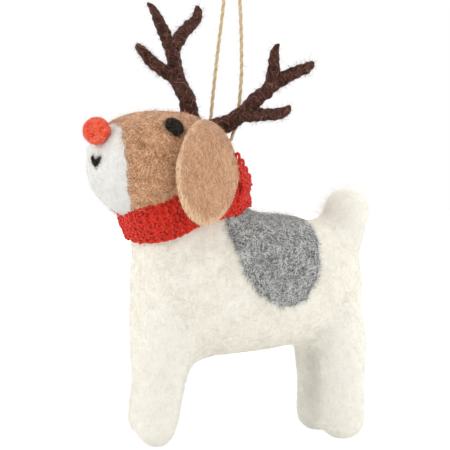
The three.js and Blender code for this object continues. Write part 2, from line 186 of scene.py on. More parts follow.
@dataclass(frozen=True)
class LooseWool:
    """Single wool fibres: a few plain tints, each a material of its own."""

    name: str
    tints: tuple[Colour, ...]
    shares: tuple[float, ...]
    sheen: float = 0.2

    def materials(self) -> list[bpy.types.Material]:
        """Builds one material for each tint.

        Returns:
            The materials in the order of the tints.
        """
        made = []
        for number, tint in enumerate(self.tints):
            name = f"{self.name}_{number}"
            made.append(bpy.data.materials.get(name) or plain_material(name, {
                "Base Color": linear(tint), "Roughness": 0.9, "Specular IOR Level": 0.15, "Sheen Weight": self.sheen,
            }))
        return made


@dataclass(frozen=True)
class SpunYarn:
    """Spun fibre, as in yarn and twine: streaked colour along its strands."""

    name: str
    slot: str
    dark: Colour
    light: Colour
    streaks: float = 900.0
    bump: float = 0.35
    sheen: float = 0.2

    def material(self) -> bpy.types.Material:
        """Builds the finish's material, or finds it if it is already made.

        Returns:
            A material with streaks of two tints and a fine hairy bump.
        """
        found = bpy.data.materials.get(self.name)
        if found:
            return found
        material = plain_material(self.name, {
            "Roughness": 0.85, "Specular IOR Level": 0.2, "Sheen Weight": self.sheen,
        })
        nodes, links = material.node_tree.nodes, material.node_tree.links
        shader = nodes["Principled BSDF"]
        place = nodes.new("ShaderNodeTexCoord")
        streak = set_sockets(nodes.new("ShaderNodeTexNoise"), {
            "Scale": self.streaks, "Detail": 4.0, "Distortion": 1.5,
        })
        ramp = tint_ramp(nodes, ((0.3, self.dark), (0.7, self.light)))
        relief = set_sockets(nodes.new("ShaderNodeBump"), {"Strength": self.bump, "Distance": 0.12 * MM})
        links.new(place.outputs["Object"], streak.inputs["Vector"])
        links.new(streak.outputs["Fac"], ramp.inputs["Fac"])
        links.new(ramp.outputs["Color"], shader.inputs["Base Color"])
        links.new(streak.outputs["Fac"], relief.inputs["Height"])
        links.new(relief.outputs["Normal"], shader.inputs["Normal"])
        return material


@dataclass(frozen=True)
class DrawnWire:
    """Bare drawn wire: metal with faint drawing marks."""

    name: str = "drawn_wire"
    colour: Colour = (0.6, 0.6, 0.62)

    def material(self) -> bpy.types.Material:
        """Builds the metal material.

        Returns:
            A metal whose roughness varies with fine noise.
        """
        material = plain_material(self.name, {"Base Color": linear(self.colour), "Metallic": 1.0})
        nodes, links = material.node_tree.nodes, material.node_tree.links
        marks = set_sockets(nodes.new("ShaderNodeTexNoise"), {"Scale": 3000.0})
        spread = set_sockets(nodes.new("ShaderNodeMapRange"), {"To Min": 0.25, "To Max": 0.5})
        links.new(marks.outputs["Fac"], spread.inputs["Value"])
        links.new(spread.outputs["Result"], nodes["Principled BSDF"].inputs["Roughness"])
        return material


CREAM_FELT = Felt(
    "cream_felt", "cream_wool", (0.93, 0.915, 0.872), (0.885, 0.866, 0.808), (0.96, 0.95, 0.92), bump=0.3,
)
# Painted highlight: a lighter copy of the cream felt for the legs and tail, standing in for the bright rim and halo
# light on them.
LIT_CREAM_FELT = Felt(
    "lit_cream_felt", "cream_wool", (0.97, 0.959, 0.925), (0.93, 0.916, 0.872), (0.99, 0.983, 0.96), bump=0.3,
)
CREAM_LOOSE = LooseWool(
    "cream_fibre", ((0.95, 0.938, 0.898), (0.905, 0.888, 0.832), (0.85, 0.818, 0.735)), (0.48, 0.36, 0.16),
)
# Painted highlight: lighter cream fibres for the legs, the tail and all standing fuzz, standing in for the rim light
# and backlit glow at their edges.
LIT_PALE_LOOSE = LooseWool(
    "lit_pale_fibre", ((1.0, 0.993, 0.968), (0.97, 0.958, 0.92), (0.92, 0.898, 0.838)), (0.58, 0.36, 0.06),
)
CREAM_FLECKS = LooseWool("cream_fleck", ((0.9, 0.87, 0.79), (0.84, 0.8, 0.7)), (0.7, 0.3))
WHITE_FELT = Felt(
    "white_felt", "cream_wool", (0.92, 0.915, 0.89), (0.85, 0.845, 0.82), (0.965, 0.965, 0.95), bump=0.3,
)
WHITE_LOOSE = LooseWool("white_fibre", ((0.975, 0.975, 0.96), (0.87, 0.865, 0.845)), (0.7, 0.3))
TAN_FELT = Felt("tan_felt", "tan_wool", (0.79, 0.58, 0.42), (0.57, 0.38, 0.245), (0.91, 0.735, 0.58), 0.7, 0.6)
TAN_LOOSE = LooseWool(
    "tan_fibre", ((1.0, 0.85, 0.695), (0.82, 0.605, 0.44), (0.6, 0.395, 0.25), (0.32, 0.2, 0.13)),
    (0.38, 0.25, 0.2, 0.17),
)
EAR_FELT = Felt(
    "ear_felt", "pale_tan_wool", (0.785, 0.6, 0.46), (0.66, 0.475, 0.345), (0.87, 0.705, 0.565), 0.7, 0.4,
)
# Painted highlight: light tints for the fibres on the ear's rim band, standing in for the side and rim light on the
# ear's edges.
EAR_RIM_HIGHLIGHT = LooseWool("ear_rim_highlight_fibre", ((1.0, 0.89, 0.75), (0.97, 0.82, 0.67)), (0.6, 0.4))
EAR_LOOSE = LooseWool(
    "ear_fibre", ((0.955, 0.81, 0.67), (0.82, 0.635, 0.49), (0.55, 0.37, 0.25)), (0.4, 0.46, 0.14),
)
GREY_FELT = Felt(
    "grey_felt", "grey_wool", (0.53, 0.535, 0.525), (0.3, 0.305, 0.305), (0.74, 0.745, 0.735), 0.6, mottle=300.0,
)
GREY_LOOSE = LooseWool(
    "grey_fibre", ((0.92, 0.925, 0.915), (0.65, 0.655, 0.645), (0.4, 0.405, 0.4), (0.22, 0.225, 0.23)),
    (0.36, 0.25, 0.22, 0.17),
)
RED_FELT = Felt("red_felt", "red_wool", (0.96, 0.32, 0.185), (0.84, 0.19, 0.09), (1.0, 0.45, 0.31), 0.7, 0.4)
RED_LOOSE = LooseWool("red_fibre", ((1.0, 0.6, 0.47), (0.94, 0.3, 0.17), (0.74, 0.14, 0.07)), (0.32, 0.44, 0.24))
BLACK_FELT = Felt(
    "black_felt", "black_wool", (0.1, 0.085, 0.075), (0.05, 0.045, 0.04), (0.17, 0.15, 0.14), sheen=0.03,
)
BLACK_LOOSE = LooseWool(
    "black_fibre", ((0.4, 0.36, 0.33), (0.2, 0.175, 0.16), (0.08, 0.07, 0.06)), (0.14, 0.3, 0.56), 0.03,
)
ANTLER_FELT = Felt(
    "antler_felt", "brown_wool", (0.27, 0.165, 0.135), (0.16, 0.09, 0.075), (0.4, 0.26, 0.215), bump=0.8, sheen=0.05,
)
ANTLER_LOOSE = LooseWool(
    "antler_fibre", ((0.6, 0.43, 0.375), (0.34, 0.2, 0.165), (0.17, 0.09, 0.075)), (0.24, 0.4, 0.36), 0.05,
)
RED_YARN = SpunYarn("red_yarn", "red_knit", (0.63, 0.06, 0.033), (0.9, 0.215, 0.125))
RED_BACKING = SpunYarn("red_backing", "red_knit", (0.69, 0.06, 0.035), (0.82, 0.12, 0.075), sheen=0.0)
YARN_LOOSE = LooseWool("yarn_fibre", ((0.93, 0.3, 0.21), (0.78, 0.13, 0.08)), (0.5, 0.5))
STRAW_TWINE = SpunYarn("straw_twine", "twine", (0.7, 0.6, 0.44), (0.88, 0.8, 0.66), 1400.0, 0.6)
STRAW_LOOSE = LooseWool("straw_fibre", ((0.92, 0.85, 0.72), (0.74, 0.64, 0.48)), (0.6, 0.4))


# Forms, set out in millimetres above the soles


def hung(points: np.ndarray) -> np.ndarray:
    """Moves points from millimetres above the soles to metres below the hook."""
    return (np.asarray(points, float) + HANG) * MM


def turned_x(points: np.ndarray, degrees: float) -> np.ndarray:
    """Turns points about the X axis by an angle in degrees."""
    c, s = math.cos(math.radians(degrees)), math.sin(math.radians(degrees))
    return points @ np.array([[1, 0, 0], [0, c, s], [0, -s, c]])


def turned_z(points: np.ndarray, degrees: float) -> np.ndarray:
    """Turns points about the Z axis by an angle in degrees."""
    c, s = math.cos(math.radians(degrees)), math.sin(math.radians(degrees))
    return points @ np.array([[c, s, 0], [-s, c, 0], [0, 0, 1]])


def ball_grid(around: int, along: int) -> Mesh:
    """Makes the points and faces of a unit ball of rings.

    Args:
        around: points in each ring.
        along: steps from pole to pole.

    Returns:
        Points, and faces of four sides, or of three at the poles.
    """
    turn = np.linspace(0, 2 * math.pi, around, endpoint=False)
    fall = np.linspace(0, math.pi, along + 1)[1:-1]
    rings = np.stack([
        np.outer(np.sin(fall), np.cos(turn)), np.outer(np.sin(fall), np.sin(turn)),
        np.repeat(np.cos(fall)[:, None], around, 1),
    ], -1).reshape(-1, 3)
    points = np.vstack([rings, [[0, 0, 1], [0, 0, -1]]])
    faces = ring_faces(around, along - 1)
    top, low = len(rings), len(rings) + 1
    last = (along - 2) * around
    steps = [(k, (k + 1) % around) for k in range(around)]
    faces += [[top, a, b] for a, b in steps]
    faces += [[last + b, last + a, low] for a, b in steps]
    return points, faces


def ring_faces(around: int, rings: int, closed: bool = True) -> Faces:
    """Lists the four-sided faces between successive rings of points.

    Args:
        around: points in each ring.
        rings: how many rings there are.
        closed: whether the last point of a ring joins its first.

    Returns:
        Faces as lists of four indices.
    """
    faces = []
    span = around if closed else around - 1
    for row in range(rings - 1):
        for k in range(span):
            after = (k + 1) % around
            faces.append([
                row * around + k, (row + 1) * around + k,
                (row + 1) * around + after, row * around + after,
            ])
    return faces


def joined(parts: Sequence[Mesh]) -> Mesh:
    """Puts several meshes into one.

    Args:
        parts: the points and faces of each.

    Returns:
        Points and faces of them all.
    """
    faces, total = [], 0
    for points, rows in parts:
        faces += [[k + total for k in row] for row in rows]
        total += len(points)
    return np.vstack([points for points, _ in parts]), faces


def sheet_faces(columns: int, rows: int) -> tuple[Faces, Faces, Faces]:
    """Lists the faces of a thick sheet whose upper points come first, row by row, and then its lower ones.

    Args:
        columns: points in each row.
        rows: how many rows each side has.

    Returns:
        The faces of the upper side, of the lower side, and of the rim between them.
    """
    count = rows * columns
    upper = ring_faces(columns, rows, closed=False)
    lower = [[k + count for k in face[::-1]] for face in upper]
    ring = list(range(columns)) + [r * columns + columns - 1 for r in range(1, rows)]
    ring += [(rows - 1) * columns + c for c in range(columns - 2, -1, -1)]
    ring += [r * columns for r in range(rows - 2, 0, -1)]
    rim = [[a, b, b + count, a + count] for a, b in zip(ring, ring[1:] + ring[:1])]
    return upper, lower, rim


def stuffed(ways: np.ndarray, size: Sequence[float], bluntness: float) -> np.ndarray:
    """Draws a ball of directions out to three sizes, squarer as its bluntness rises.

    Args:
        ways: directions from the middle.
        size: full width, length and height.
        bluntness: 2 for an oval, more for a squarer form.

    Returns:
        The points of the form.
    """
    half = np.asarray(size, float) / 2
    reach = (np.abs(ways / half) ** bluntness).sum(1) ** (-1 / bluntness)
    return ways * reach[:, None]


def run_along(line: np.ndarray) -> np.ndarray:
    """Measures the way from a line's first point to each of its points."""
    return np.concatenate([[0], np.cumsum(np.linalg.norm(np.diff(line, axis=0), axis=1))])


def smooth_line(points: Sequence[Sequence[float]], steps: int) -> np.ndarray:
    """Runs an even smooth line through points.

    Args:
        points: the points, at least two.
        steps: how many equal steps the line is cut into.

    Returns:
        Points along the line, one more than the steps.
    """
    knots = np.asarray(points, float)
    padded = np.vstack([2 * knots[0] - knots[1], knots, 2 * knots[-1] - knots[-2]])
    fine = []
    for i in range(1, len(padded) - 2):
        a, b, c, d = padded[i - 1:i + 3]
        t = np.linspace(0, 1, 40, endpoint=False)[:, None]
        fine.append(0.5 * (
            2 * b + (c - a) * t + (2 * a - 5 * b + 4 * c - d) * t ** 2
            + (3 * b - a - 3 * c + d) * t ** 3
        ))
    line = np.vstack(fine + [knots[-1:]])
    run = run_along(line)
    even = np.linspace(0, run[-1], steps + 1)
    return np.stack([np.interp(even, run, line[:, k]) for k in range(3)], -1)


def carried_frames(line: np.ndarray) -> tuple[np.ndarray, np.ndarray, np.ndarray]:
    """Carries a pair of cross directions along a line without twist.

    Args:
        line: points along the line.

    Returns:
        The line's direction and two cross directions at each point.
    """
    ahead = np.gradient(line, axis=0)
    ahead /= np.linalg.norm(ahead, axis=1)[:, None]
    side = np.zeros_like(ahead)
    first = np.cross(ahead[0], [0.3, 0.5, 0.8])
    side[0] = first / np.linalg.norm(first)
    for i in range(1, len(line)):
        carried = side[i - 1] - ahead[i] * (side[i - 1] @ ahead[i])
        side[i] = carried / np.linalg.norm(carried)
    return ahead, side, np.cross(ahead, side)


def tube(line: np.ndarray, radius: np.ndarray, sides: int) -> Mesh:
    """Skins a round tube along a line and closes its ends.

    Args:
        line: points along the middle.
        radius: the radius at each point, or at each point and side.
        sides: points round the tube.

    Returns:
        Points and faces of the closed tube.
    """
    _, side, cross = carried_frames(line)
    turn = np.linspace(0, 2 * math.pi, sides, endpoint=False)
    spread = radius if radius.ndim == 2 else np.repeat(radius[:, None], sides, 1)
    points = (
        line[:, None] + side[:, None] * (np.cos(turn) * spread)[..., None]
        + cross[:, None] * (np.sin(turn) * spread)[..., None]
    ).reshape(-1, 3)
    faces = [face[::-1] for face in ring_faces(sides, len(line))]
    first, last = len(points), len(points) + 1
    points = np.vstack([points, line[0], line[-1]])
    base = (len(line) - 1) * sides
    for k in range(sides):
        after = (k + 1) % sides
        faces.append([first, after, k])
        faces.append([last, base + k, base + after])
    return points, faces


def ripple(points: np.ndarray, scale: float, seed: int) -> np.ndarray:
    """Gives a smooth random value at each point.

    Args:
        points: the points, in millimetres.
        scale: the width of a lump in millimetres.
        seed: moves the pattern.

    Returns:
        Values from about -1 to 1.
    """
    shift = Vector((seed * 17.3, seed * 7.1, seed * 3.7))
    return np.array([noise.noise(Vector(p) / scale + shift) for p in points])


def face_normals(points: np.ndarray, faces: Sequence[Sequence[int]]) -> np.ndarray:
    """Works out smooth normals at the points of a mesh.

    Args:
        points: the mesh's points.
        faces: its faces, of three or four sides.

    Returns:
        A unit normal at each point.
    """
    rows = np.array([[f[0], f[1], f[2], f[-1]] for f in faces])
    flat = np.cross(points[rows[:, 2]] - points[rows[:, 0]], points[rows[:, 3]] - points[rows[:, 1]])
    thin = rows[:, 2] == rows[:, 3]
    flat[thin] = np.cross(
        points[rows[thin, 1]] - points[rows[thin, 0]], points[rows[thin, 2]] - points[rows[thin, 0]],
    )
    total = np.zeros_like(points)
    for k in range(4):
        np.add.at(total, rows[:, k], flat)
    return total / np.maximum(np.linalg.norm(total, axis=1), 1e-12)[:, None]


def facing(points: np.ndarray, faces: Faces, probe: int, way: Sequence[float]) -> Faces:
    """Turns faces over if their normal at one point runs against a direction.

    Args:
        points: the mesh's points.
        faces: its faces.
        probe: the index of the point that is tested.
        way: the direction that the faces look in there.

    Returns:
        The faces, all turned or all as they were.
    """
    against = face_normals(points, faces)[probe] @ np.asarray(way) < 0
    return [face[::-1] for face in faces] if against else faces


def lumpy(points: np.ndarray, lumps: Sequence[tuple[float, float, int]]) -> np.ndarray:
    """Adds up lumps of several sizes at each point.

    Args:
        points: the points, in millimetres.
        lumps: the height and width of each kind of lump, and its seed.

    Returns:
        How far each point stands out, as a column.
    """
    return sum(height * ripple(points, width, seed) for height, width, seed in lumps)[:, None]


def linked(name: str, data: bpy.types.ID) -> bpy.types.Object:
    """Makes an object of a mesh, camera or lamp and puts it in the scene.

    Args:
        name: the object's name.
        data: what it shows.

    Returns:
        The new object.
    """
    obj = bpy.data.objects.new(name, data)
    bpy.context.scene.collection.objects.link(obj)
    return obj


@dataclass
class Form:
    """A surface in metres, in the hung frame, ready to become a piece or to grow fibres on."""

    points: np.ndarray
    faces: Faces
    normals: np.ndarray | None = None

    def piece(self, name: str, finish: Felt | SpunYarn, body: Body, nodes: Sequence[str] = ()) -> bpy.types.Object:
        """Makes a piece of the form.

        Args:
            name: the piece's name.
            finish: what it is made of.
            body: the body that it rides on.
            nodes: the nodes of the frame that it stands for.

        Returns:
            The new object.
        """
        mesh = bpy.data.meshes.new(name)
        mesh.from_pydata(self.points.tolist(), [], self.faces)
        mesh.polygons.foreach_set("use_smooth", np.ones(len(mesh.polygons), bool))
        mesh.materials.append(finish.material())
        if self.normals is not None:
            mesh.normals_split_custom_set_from_vertices(self.normals.tolist())
        obj = linked(name, mesh)
        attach(obj, body.value)
        if nodes:
            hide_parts(*nodes)
        LOG.info("%s: %d faces", name, len(self.faces))
        return obj

    def tree(self) -> BVHTree:
        """Makes a search tree of the form's surface."""
        return BVHTree.FromPolygons(self.points.tolist(), self.triangles().tolist())

    def triangles(self) -> np.ndarray:
        """Cuts the form's faces into triangles.

        Returns:
            Rows of three indices.
        """
        rows = []
        for face in self.faces:
            rows += [[face[0], face[k], face[k + 1]] for k in range(1, len(face) - 1)]
        return np.array(rows)


@dataclass(frozen=True)
class Fibres:
    """A coat of loose fibres on a form. Lengths and widths are in millimetres."""

    count: int
    length: tuple[float, float]
    width: float
    lift: float
    lay: Lay
    seed: int
    along: tuple[float, float, float] | None = None
    bow: float = 0.28
    skim: float = 0.03
    stray: float = 0.55
    steps: int = 4

    def grow(
        self, name: str, form: Form, finish: LooseWool, body: Body = Body.DOG, over: Form | None = None,
    ) -> bpy.types.Object:
        """Grows the coat as thin ribbons.

        Args:
            name: the piece's name.
            form: the surface that the fibres start from.
            finish: their tints.
            body: the body that they ride on.
            over: the surface that they lie on, where it is another one.

        Returns:
            The new object.
        """
        rng = np.random.default_rng(self.seed)
        root, normal = self.scatter(form, rng)
        tree = (over or form).tree()
        if over is not None:
            normal = np.array([tree.find_nearest(Vector(point))[1] for point in root])
        way = self.heading(normal, rng)
        lines = self.run(tree, root, normal, way, rng)
        obj = ribbons(name, lines, normal, self, finish, rng)
        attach(obj, body.value)
        LOG.info("%s: %d fibres", name, self.count)
        return obj

    def scatter(self, form: Form, rng: np.random.Generator) -> tuple[np.ndarray, np.ndarray]:
        """Picks root points evenly over a form.

        Args:
            form: the surface.
            rng: the source of chance.

        Returns:
            Root points and the surface's normals there.
        """
        rows = form.triangles()
        a, b, c = (form.points[rows[:, k]] for k in range(3))
        cross = np.cross(b - a, c - a)
        area = np.linalg.norm(cross, axis=1)
        pick = rng.choice(len(rows), self.count, p=area / area.sum())
        u, v = rng.random(self.count), rng.random(self.count)
        fold = u + v > 1
        u[fold], v[fold] = 1 - u[fold], 1 - v[fold]
        root = a[pick] + (b - a)[pick] * u[:, None] + (c - a)[pick] * v[:, None]
        return root, cross[pick] / np.maximum(area[pick], 1e-15)[:, None]

    def heading(self, normal: np.ndarray, rng: np.random.Generator) -> np.ndarray:
        """Picks the way that each fibre runs over the surface.

        Args:
            normal: the surface's normals at the roots.
            rng: the source of chance.

        Returns:
            A unit direction along the surface for each fibre.
        """
        way = rng.normal(size=normal.shape)
        if self.along is not None:
            way = self.stray * way + np.asarray(self.along) * rng.choice([-1, 1], len(way))[:, None]
        way -= normal * (way * normal).sum(1)[:, None]
        return way / np.linalg.norm(way, axis=1)[:, None]

    def run(
        self, tree: BVHTree, root: np.ndarray, normal: np.ndarray, way: np.ndarray, rng: np.random.Generator,
    ) -> np.ndarray:
        """Runs each fibre over the surface in a few bowed steps.

        Args:
            tree: the surface's search tree.
            root: root points.
            normal: normals at the roots.
            way: the direction of each fibre.
            rng: the source of chance.

        Returns:
            Points along each fibre, one more than the steps.
        """
        length = rng.uniform(*self.length, self.count) * MM
        bow = rng.normal(0, self.bow, self.count)
        side = np.cross(normal, way)
        rise = rng.random(self.count) ** 2 * self.lift * MM
        lines = np.zeros((self.count, self.steps + 1, 3))
        for k in range(self.steps + 1):
            share = k / self.steps
            if self.lay is Lay.STANDING:
                spot = root + way * (length * share * 0.7)[:, None]
                spot += side * (length * bow * share ** 2)[:, None]
                spot += normal * (rise * share + 0.02 * MM)[:, None]
                lines[:, k] = spot
                continue
            spot = root + way * (length * (share - 0.5))[:, None]
            spot += side * (length * bow * (share - 0.5) ** 2 * 2)[:, None]
            ends = (2 * abs(share - 0.5)) ** 2
            for i, point in enumerate(spot):
                near, out, _, _ = tree.find_nearest(Vector(point))
                lines[i, k] = near + out * (self.skim * MM + rise[i] * (0.25 + 0.75 * ends))
        return lines


def ribbons(
    name: str, lines: np.ndarray, normal: np.ndarray, coat: Fibres, finish: LooseWool, rng: np.random.Generator,
) -> bpy.types.Object:
    """Skins fibres as narrow tapering ribbons.

    Args:
        name: the object's name.
        lines: points along each fibre.
        normal: the surface's normal at each root.
        coat: the coat that they belong to.
        finish: their tints.
        rng: the source of chance.

    Returns:
        The new object.
    """
    count, steps = lines.shape[:2]
    ahead = np.gradient(lines, axis=1)
    across = np.cross(ahead, normal[:, None])
    if coat.lay is Lay.STANDING:
        across = np.cross(ahead, rng.normal(size=(count, 1, 3)))
    across /= np.maximum(np.linalg.norm(across, axis=2), 1e-15)[..., None]
    taper = np.interp(np.linspace(0, 1, steps), [0, 0.25, 0.75, 1], [0.35, 1, 1, 0.25])
    half = 0.5 * coat.width * MM * taper[None, :, None] * rng.uniform(0.7, 1.3, (count, 1, 1))
    points = np.stack([lines - across * half, lines + across * half], 2).reshape(-1, 3)
    base = (np.arange(count) * steps * 2)[:, None, None]
    step = (np.arange(steps - 1) * 2)[None, :, None]
    quads = (base + step + np.array([0, 1, 3, 2])[None, None]).reshape(-1, 4)
    mesh = bpy.data.meshes.new(name)
    mesh.vertices.add(len(points))
    mesh.vertices.foreach_set("co", points.astype(np.float32).ravel())
    mesh.loops.add(quads.size)
    mesh.loops.foreach_set("vertex_index", quads.astype(np.int32).ravel())
    mesh.polygons.add(len(quads))
    mesh.polygons.foreach_set("loop_start", np.arange(0, quads.size, 4, dtype=np.int32))
    for material in finish.materials():
        mesh.materials.append(material)
    shares = np.array(finish.shares) / sum(finish.shares)
    tint = rng.choice(len(shares), count, p=shares)
    mesh.polygons.foreach_set("material_index", np.repeat(tint, steps - 1).astype(np.int32))
    mesh.polygons.foreach_set("use_smooth", np.ones(len(quads), bool))
    mesh.update(calc_edges=True)
    return linked(name, mesh)


# Sub-assemblies


@dataclass
class TwineLoop:
    """The twisted twine that the ornament hangs by. Sizes are in millimetres."""

    diameter: float = 1.1
    lay_length: float = 7.5
    plies: int = 3
    ply_share: float = 0.24
    twist_share: float = 0.46
    steps: int = 420
    route: list[list[float]] = field(default_factory=lambda: [
        [-5.9, -8.75, 79], [-5.9, -7.95, 81.6], [-5.9, -7.45, 84], [-5.8, -7.15, 87], [-5.5, -6.75, 92],
        [-5, -6.25, 98], [-4.3, -5.65, 105], [-3.5, -4.95, 112], [-2.8, -4.35, 118.7], [-2.5, -3.75, 124],
        [-2.4, -3.02, 128.2], [-2.2, -2.6, 130.4], [-1.3, -2.45, 131.9], [0, -2.4, 132.4],
        [1.3, -2.35, 131.9], [2.2, -2.2, 130.4], [2.4, -2.02, 128.2], [2.5, -1.95, 124],
        [2.8, -1.65, 118.7], [3.5, -1.55, 112], [4.3, -1.65, 105], [4.9, -1.85, 99], [5.2, -2.35, 93],
        [5, -3.05, 87], [4.5, -4.35, 82], [3.9, -5.85, 79.4], [2.9, -8.25, 76.6],
    ])

    def build(self) -> None:
        line = smooth_line(self.route, self.steps)
        run = run_along(line)
        _, side, cross = carried_frames(line)
        plies = []
        ply = self.diameter * self.ply_share
        offset = self.diameter * self.twist_share - ply
        for number in range(self.plies):
            turn = 2 * math.pi * (run / self.lay_length + number / self.plies)
            strand = line + side * (offset * np.cos(turn))[:, None] + cross * (offset * np.sin(turn))[:, None]
            plies.append(tube(strand, np.full(len(strand), ply), 7))
        points, faces = joined(plies)
        form = Form(hung(points), faces)
        twine = form.piece("hanging_twine", STRAW_TWINE, Body.DOG, ["hanging_loop"])
        coat = Fibres(420, (1.2, 3.0), 0.045, 0.9, Lay.STANDING, 5)
        coat.grow("twine_hairs", form, STRAW_LOOSE)


@dataclass(frozen=True)
class LegCut:
    """What sets one pair of legs apart. Sizes are in millimetres."""

    diameter: float
    inset: float
    stagger: float
    slope: float
    heel: float = 0.0


@dataclass
class Torso:
    """The cream body with its legs and tail, felted into one skin. Sizes are in millimetres."""

    barrel: tuple[float, float, float] = (34.6, 63.4, 37.0)
    barrel_bluntness: float = 2.8
    belly_clearance: float = 23.8
    belly_slope: float = 0.09
    chest_trim: float = 0.968
    back_trim: float = 0.05
    chest_pad: tuple[float, float, float] = (27.0, 20.0, 28.0)
    # How far each pad stands in from its end of the barrel, and its height
    chest_pad_place: tuple[float, float] = (10.7, 33.0)
    rump_pad_place: tuple[float, float] = (9.6, 41.0)
    rump_pad: tuple[float, float, float] = (25.0, 22.0, 30.0)
    pad_bluntness: float = 2.4
    neck: tuple[float, float, float] = (25.6, 28.0, 45.0)
    neck_bluntness: float = 2.6
    neck_setback: float = 15.4
    neck_lean: float = -3.0
    leg_spread: float = 17.0
    leg_height: float = 39.0
    sole_share: float = 0.46
    # Width in leg radii, then height: in leg diameters at the foot, in leg heights at the thigh
    foot_outline: tuple[tuple[float, float], ...] = ((0.9, 0.22), (0.99, 0.62), (0.95, 1.15))
    thigh_outline: tuple[tuple[float, float], ...] = ((1.08, 0.68), (0.8, 0.94))
    front_leg: LegCut = LegCut(13.4, 7.0, 2.3, 0.07, heel=2.2)
    rear_leg: LegCut = LegCut(12.2, 6.5, 1.2, 0.0)
    tail_diameter: float = 13.0
    tail_length: float = 23.0
    tail_tilt: float = -17.0
    tail_inset: float = 6.9
    tail_sunk_share: float = 0.7
    voxel: float = 0.75
    smooth_steps: int = 6
    smooth_pull: float = 0.5
    fillet_steps: int = 440
    fillet_pull: float = 0.6
    fillet_slide: float = 0.3
    fillet_renewal: int = 15
    cap_depth: float = 4.0
    # Height, width and seed of each kind of lump
    lumps: tuple[tuple[float, float, int], ...] = ((0.22, 11.0, 1), (0.05, 3.5, 2))
    leg_coat: int = 8200
    tail_coat: int = 4200
    torso_coat: int = 21000
    skin: Form | None = None

    @property
    def belt(self) -> float:
        """Height of the barrel's middle."""
        return self.belly_clearance + self.barrel[2] / 2

    @property
    def neck_centre(self) -> float:
        """Place of the neck along the body."""
        return -self.barrel[1] / 2 + self.neck_setback

    def barrel_form(self) -> Mesh:
        """Makes the barrel, its belly rising towards the rump.

        Returns:
            Points and faces of the barrel.
        """
        ways, faces = ball_grid(96, 64)
        points = stuffed(ways, self.barrel, self.barrel_bluntness)
        low = np.maximum(0, -points[:, 2] / (self.barrel[2] / 2))
        points[:, 2] += self.belly_slope * points[:, 1] * low + self.belt
        points[:, 1] *= np.where(points[:, 1] < 0, self.chest_trim, 1.0)
        points[:, 2] -= np.maximum(0, points[:, 2] - self.belt) * self.back_trim
        return points, faces

    def padding(self, size: Sequence[float], along: float, up: float) -> Mesh:
        """Makes a pad of wool that fills out the chest or the rump.

        Args:
            size: width, length and height.
            along: its place along the body.
            up: its height above the soles.

        Returns:
            Points and faces of the pad.
        """
        ways, faces = ball_grid(64, 40)
        return stuffed(ways, size, self.pad_bluntness) + [0, along, up], faces

    def neck_form(self) -> Mesh:
        """Makes the neck column.

        Returns:
            Points and faces of the neck.
        """
        ways, faces = ball_grid(72, 48)
        points = turned_x(stuffed(ways, self.neck, self.neck_bluntness), self.neck_lean)
        return points + [0, self.neck_centre, self.belt + self.neck[2] / 3], faces

    def leg_form(self, cut: LegCut, across: float, along: float) -> Mesh:
        """Makes a leg that swells at the foot and thigh.

        Args:
            cut: its thickness, its slope and how far its heel is trimmed.
            across: the sole's place across the body.
            along: the sole's place along the body.

        Returns:
            Points and faces of the leg.
        """
        diameter, radius, tall = cut.diameter, cut.diameter / 2, self.leg_height
        corners = [[radius * self.sole_share, 0, 0]]
        corners += [[radius * wide, 0, diameter * up] for wide, up in self.foot_outline]
        corners += [[radius * wide, 0, tall * up] for wide, up in self.thigh_outline]
        outline = smooth_line(corners, 40)
        line = np.zeros((len(outline), 3))
        line[:, 2] = outline[:, 2]
        points, faces = tube(line, outline[:, 0], 32)
        low = np.clip(1 - points[:, 2] / (1.5 * diameter), 0, 1)
        points[:, 1] -= cut.heel * low * np.maximum(0, points[:, 1] / radius + 0.4)
        points[:, 1] += cut.slope * points[:, 2]
        return points + [across, along, 0], faces

    def tail_form(self) -> Mesh:
        """Makes the tail's stub.

        Returns:
            Points and faces of the tail.
        """
        share = np.linspace(0, 1, 41)
        line = np.stack([share * 0, share * 0, share * self.tail_length], -1)
        radius = self.tail_diameter / 2 * np.minimum(1.08 - 0.16 * share, np.sqrt(1.04 - share ** 9))
        points, faces = tube(line, radius, 28)
        high = self.belt + self.barrel[2] / 2 - self.tail_length * self.tail_sunk_share
        return turned_x(points, self.tail_tilt) + [0, self.barrel[1] / 2 - self.tail_inset, high], faces

    def forms(self) -> dict[str, Mesh]:
        """Makes every form of the body.

        Returns:
            Points and faces of each form, by the node that it belongs to and, after a dot, its own name.
        """
        made = {"torso": self.barrel_form(), "torso.neck": self.neck_form(), "tail": self.tail_form()}
        chest, rump = -self.barrel[1] / 2, self.barrel[1] / 2
        inset, up = self.chest_pad_place
        made["torso.chest"] = self.padding(self.chest_pad, chest + inset, up)
        inset, up = self.rump_pad_place
        made["torso.rump"] = self.padding(self.rump_pad, rump - inset, up)
        for side, name in ((1, "left"), (-1, "right")):
            across = side * self.leg_spread / 2
            fore = chest + self.front_leg.inset - side * self.front_leg.stagger / 2
            made[f"front_{name}_leg"] = self.leg_form(self.front_leg, across, fore)
            aft = rump - self.rear_leg.inset + side * self.rear_leg.stagger / 2
            made[f"rear_{name}_leg"] = self.leg_form(self.rear_leg, across, aft)
        return made

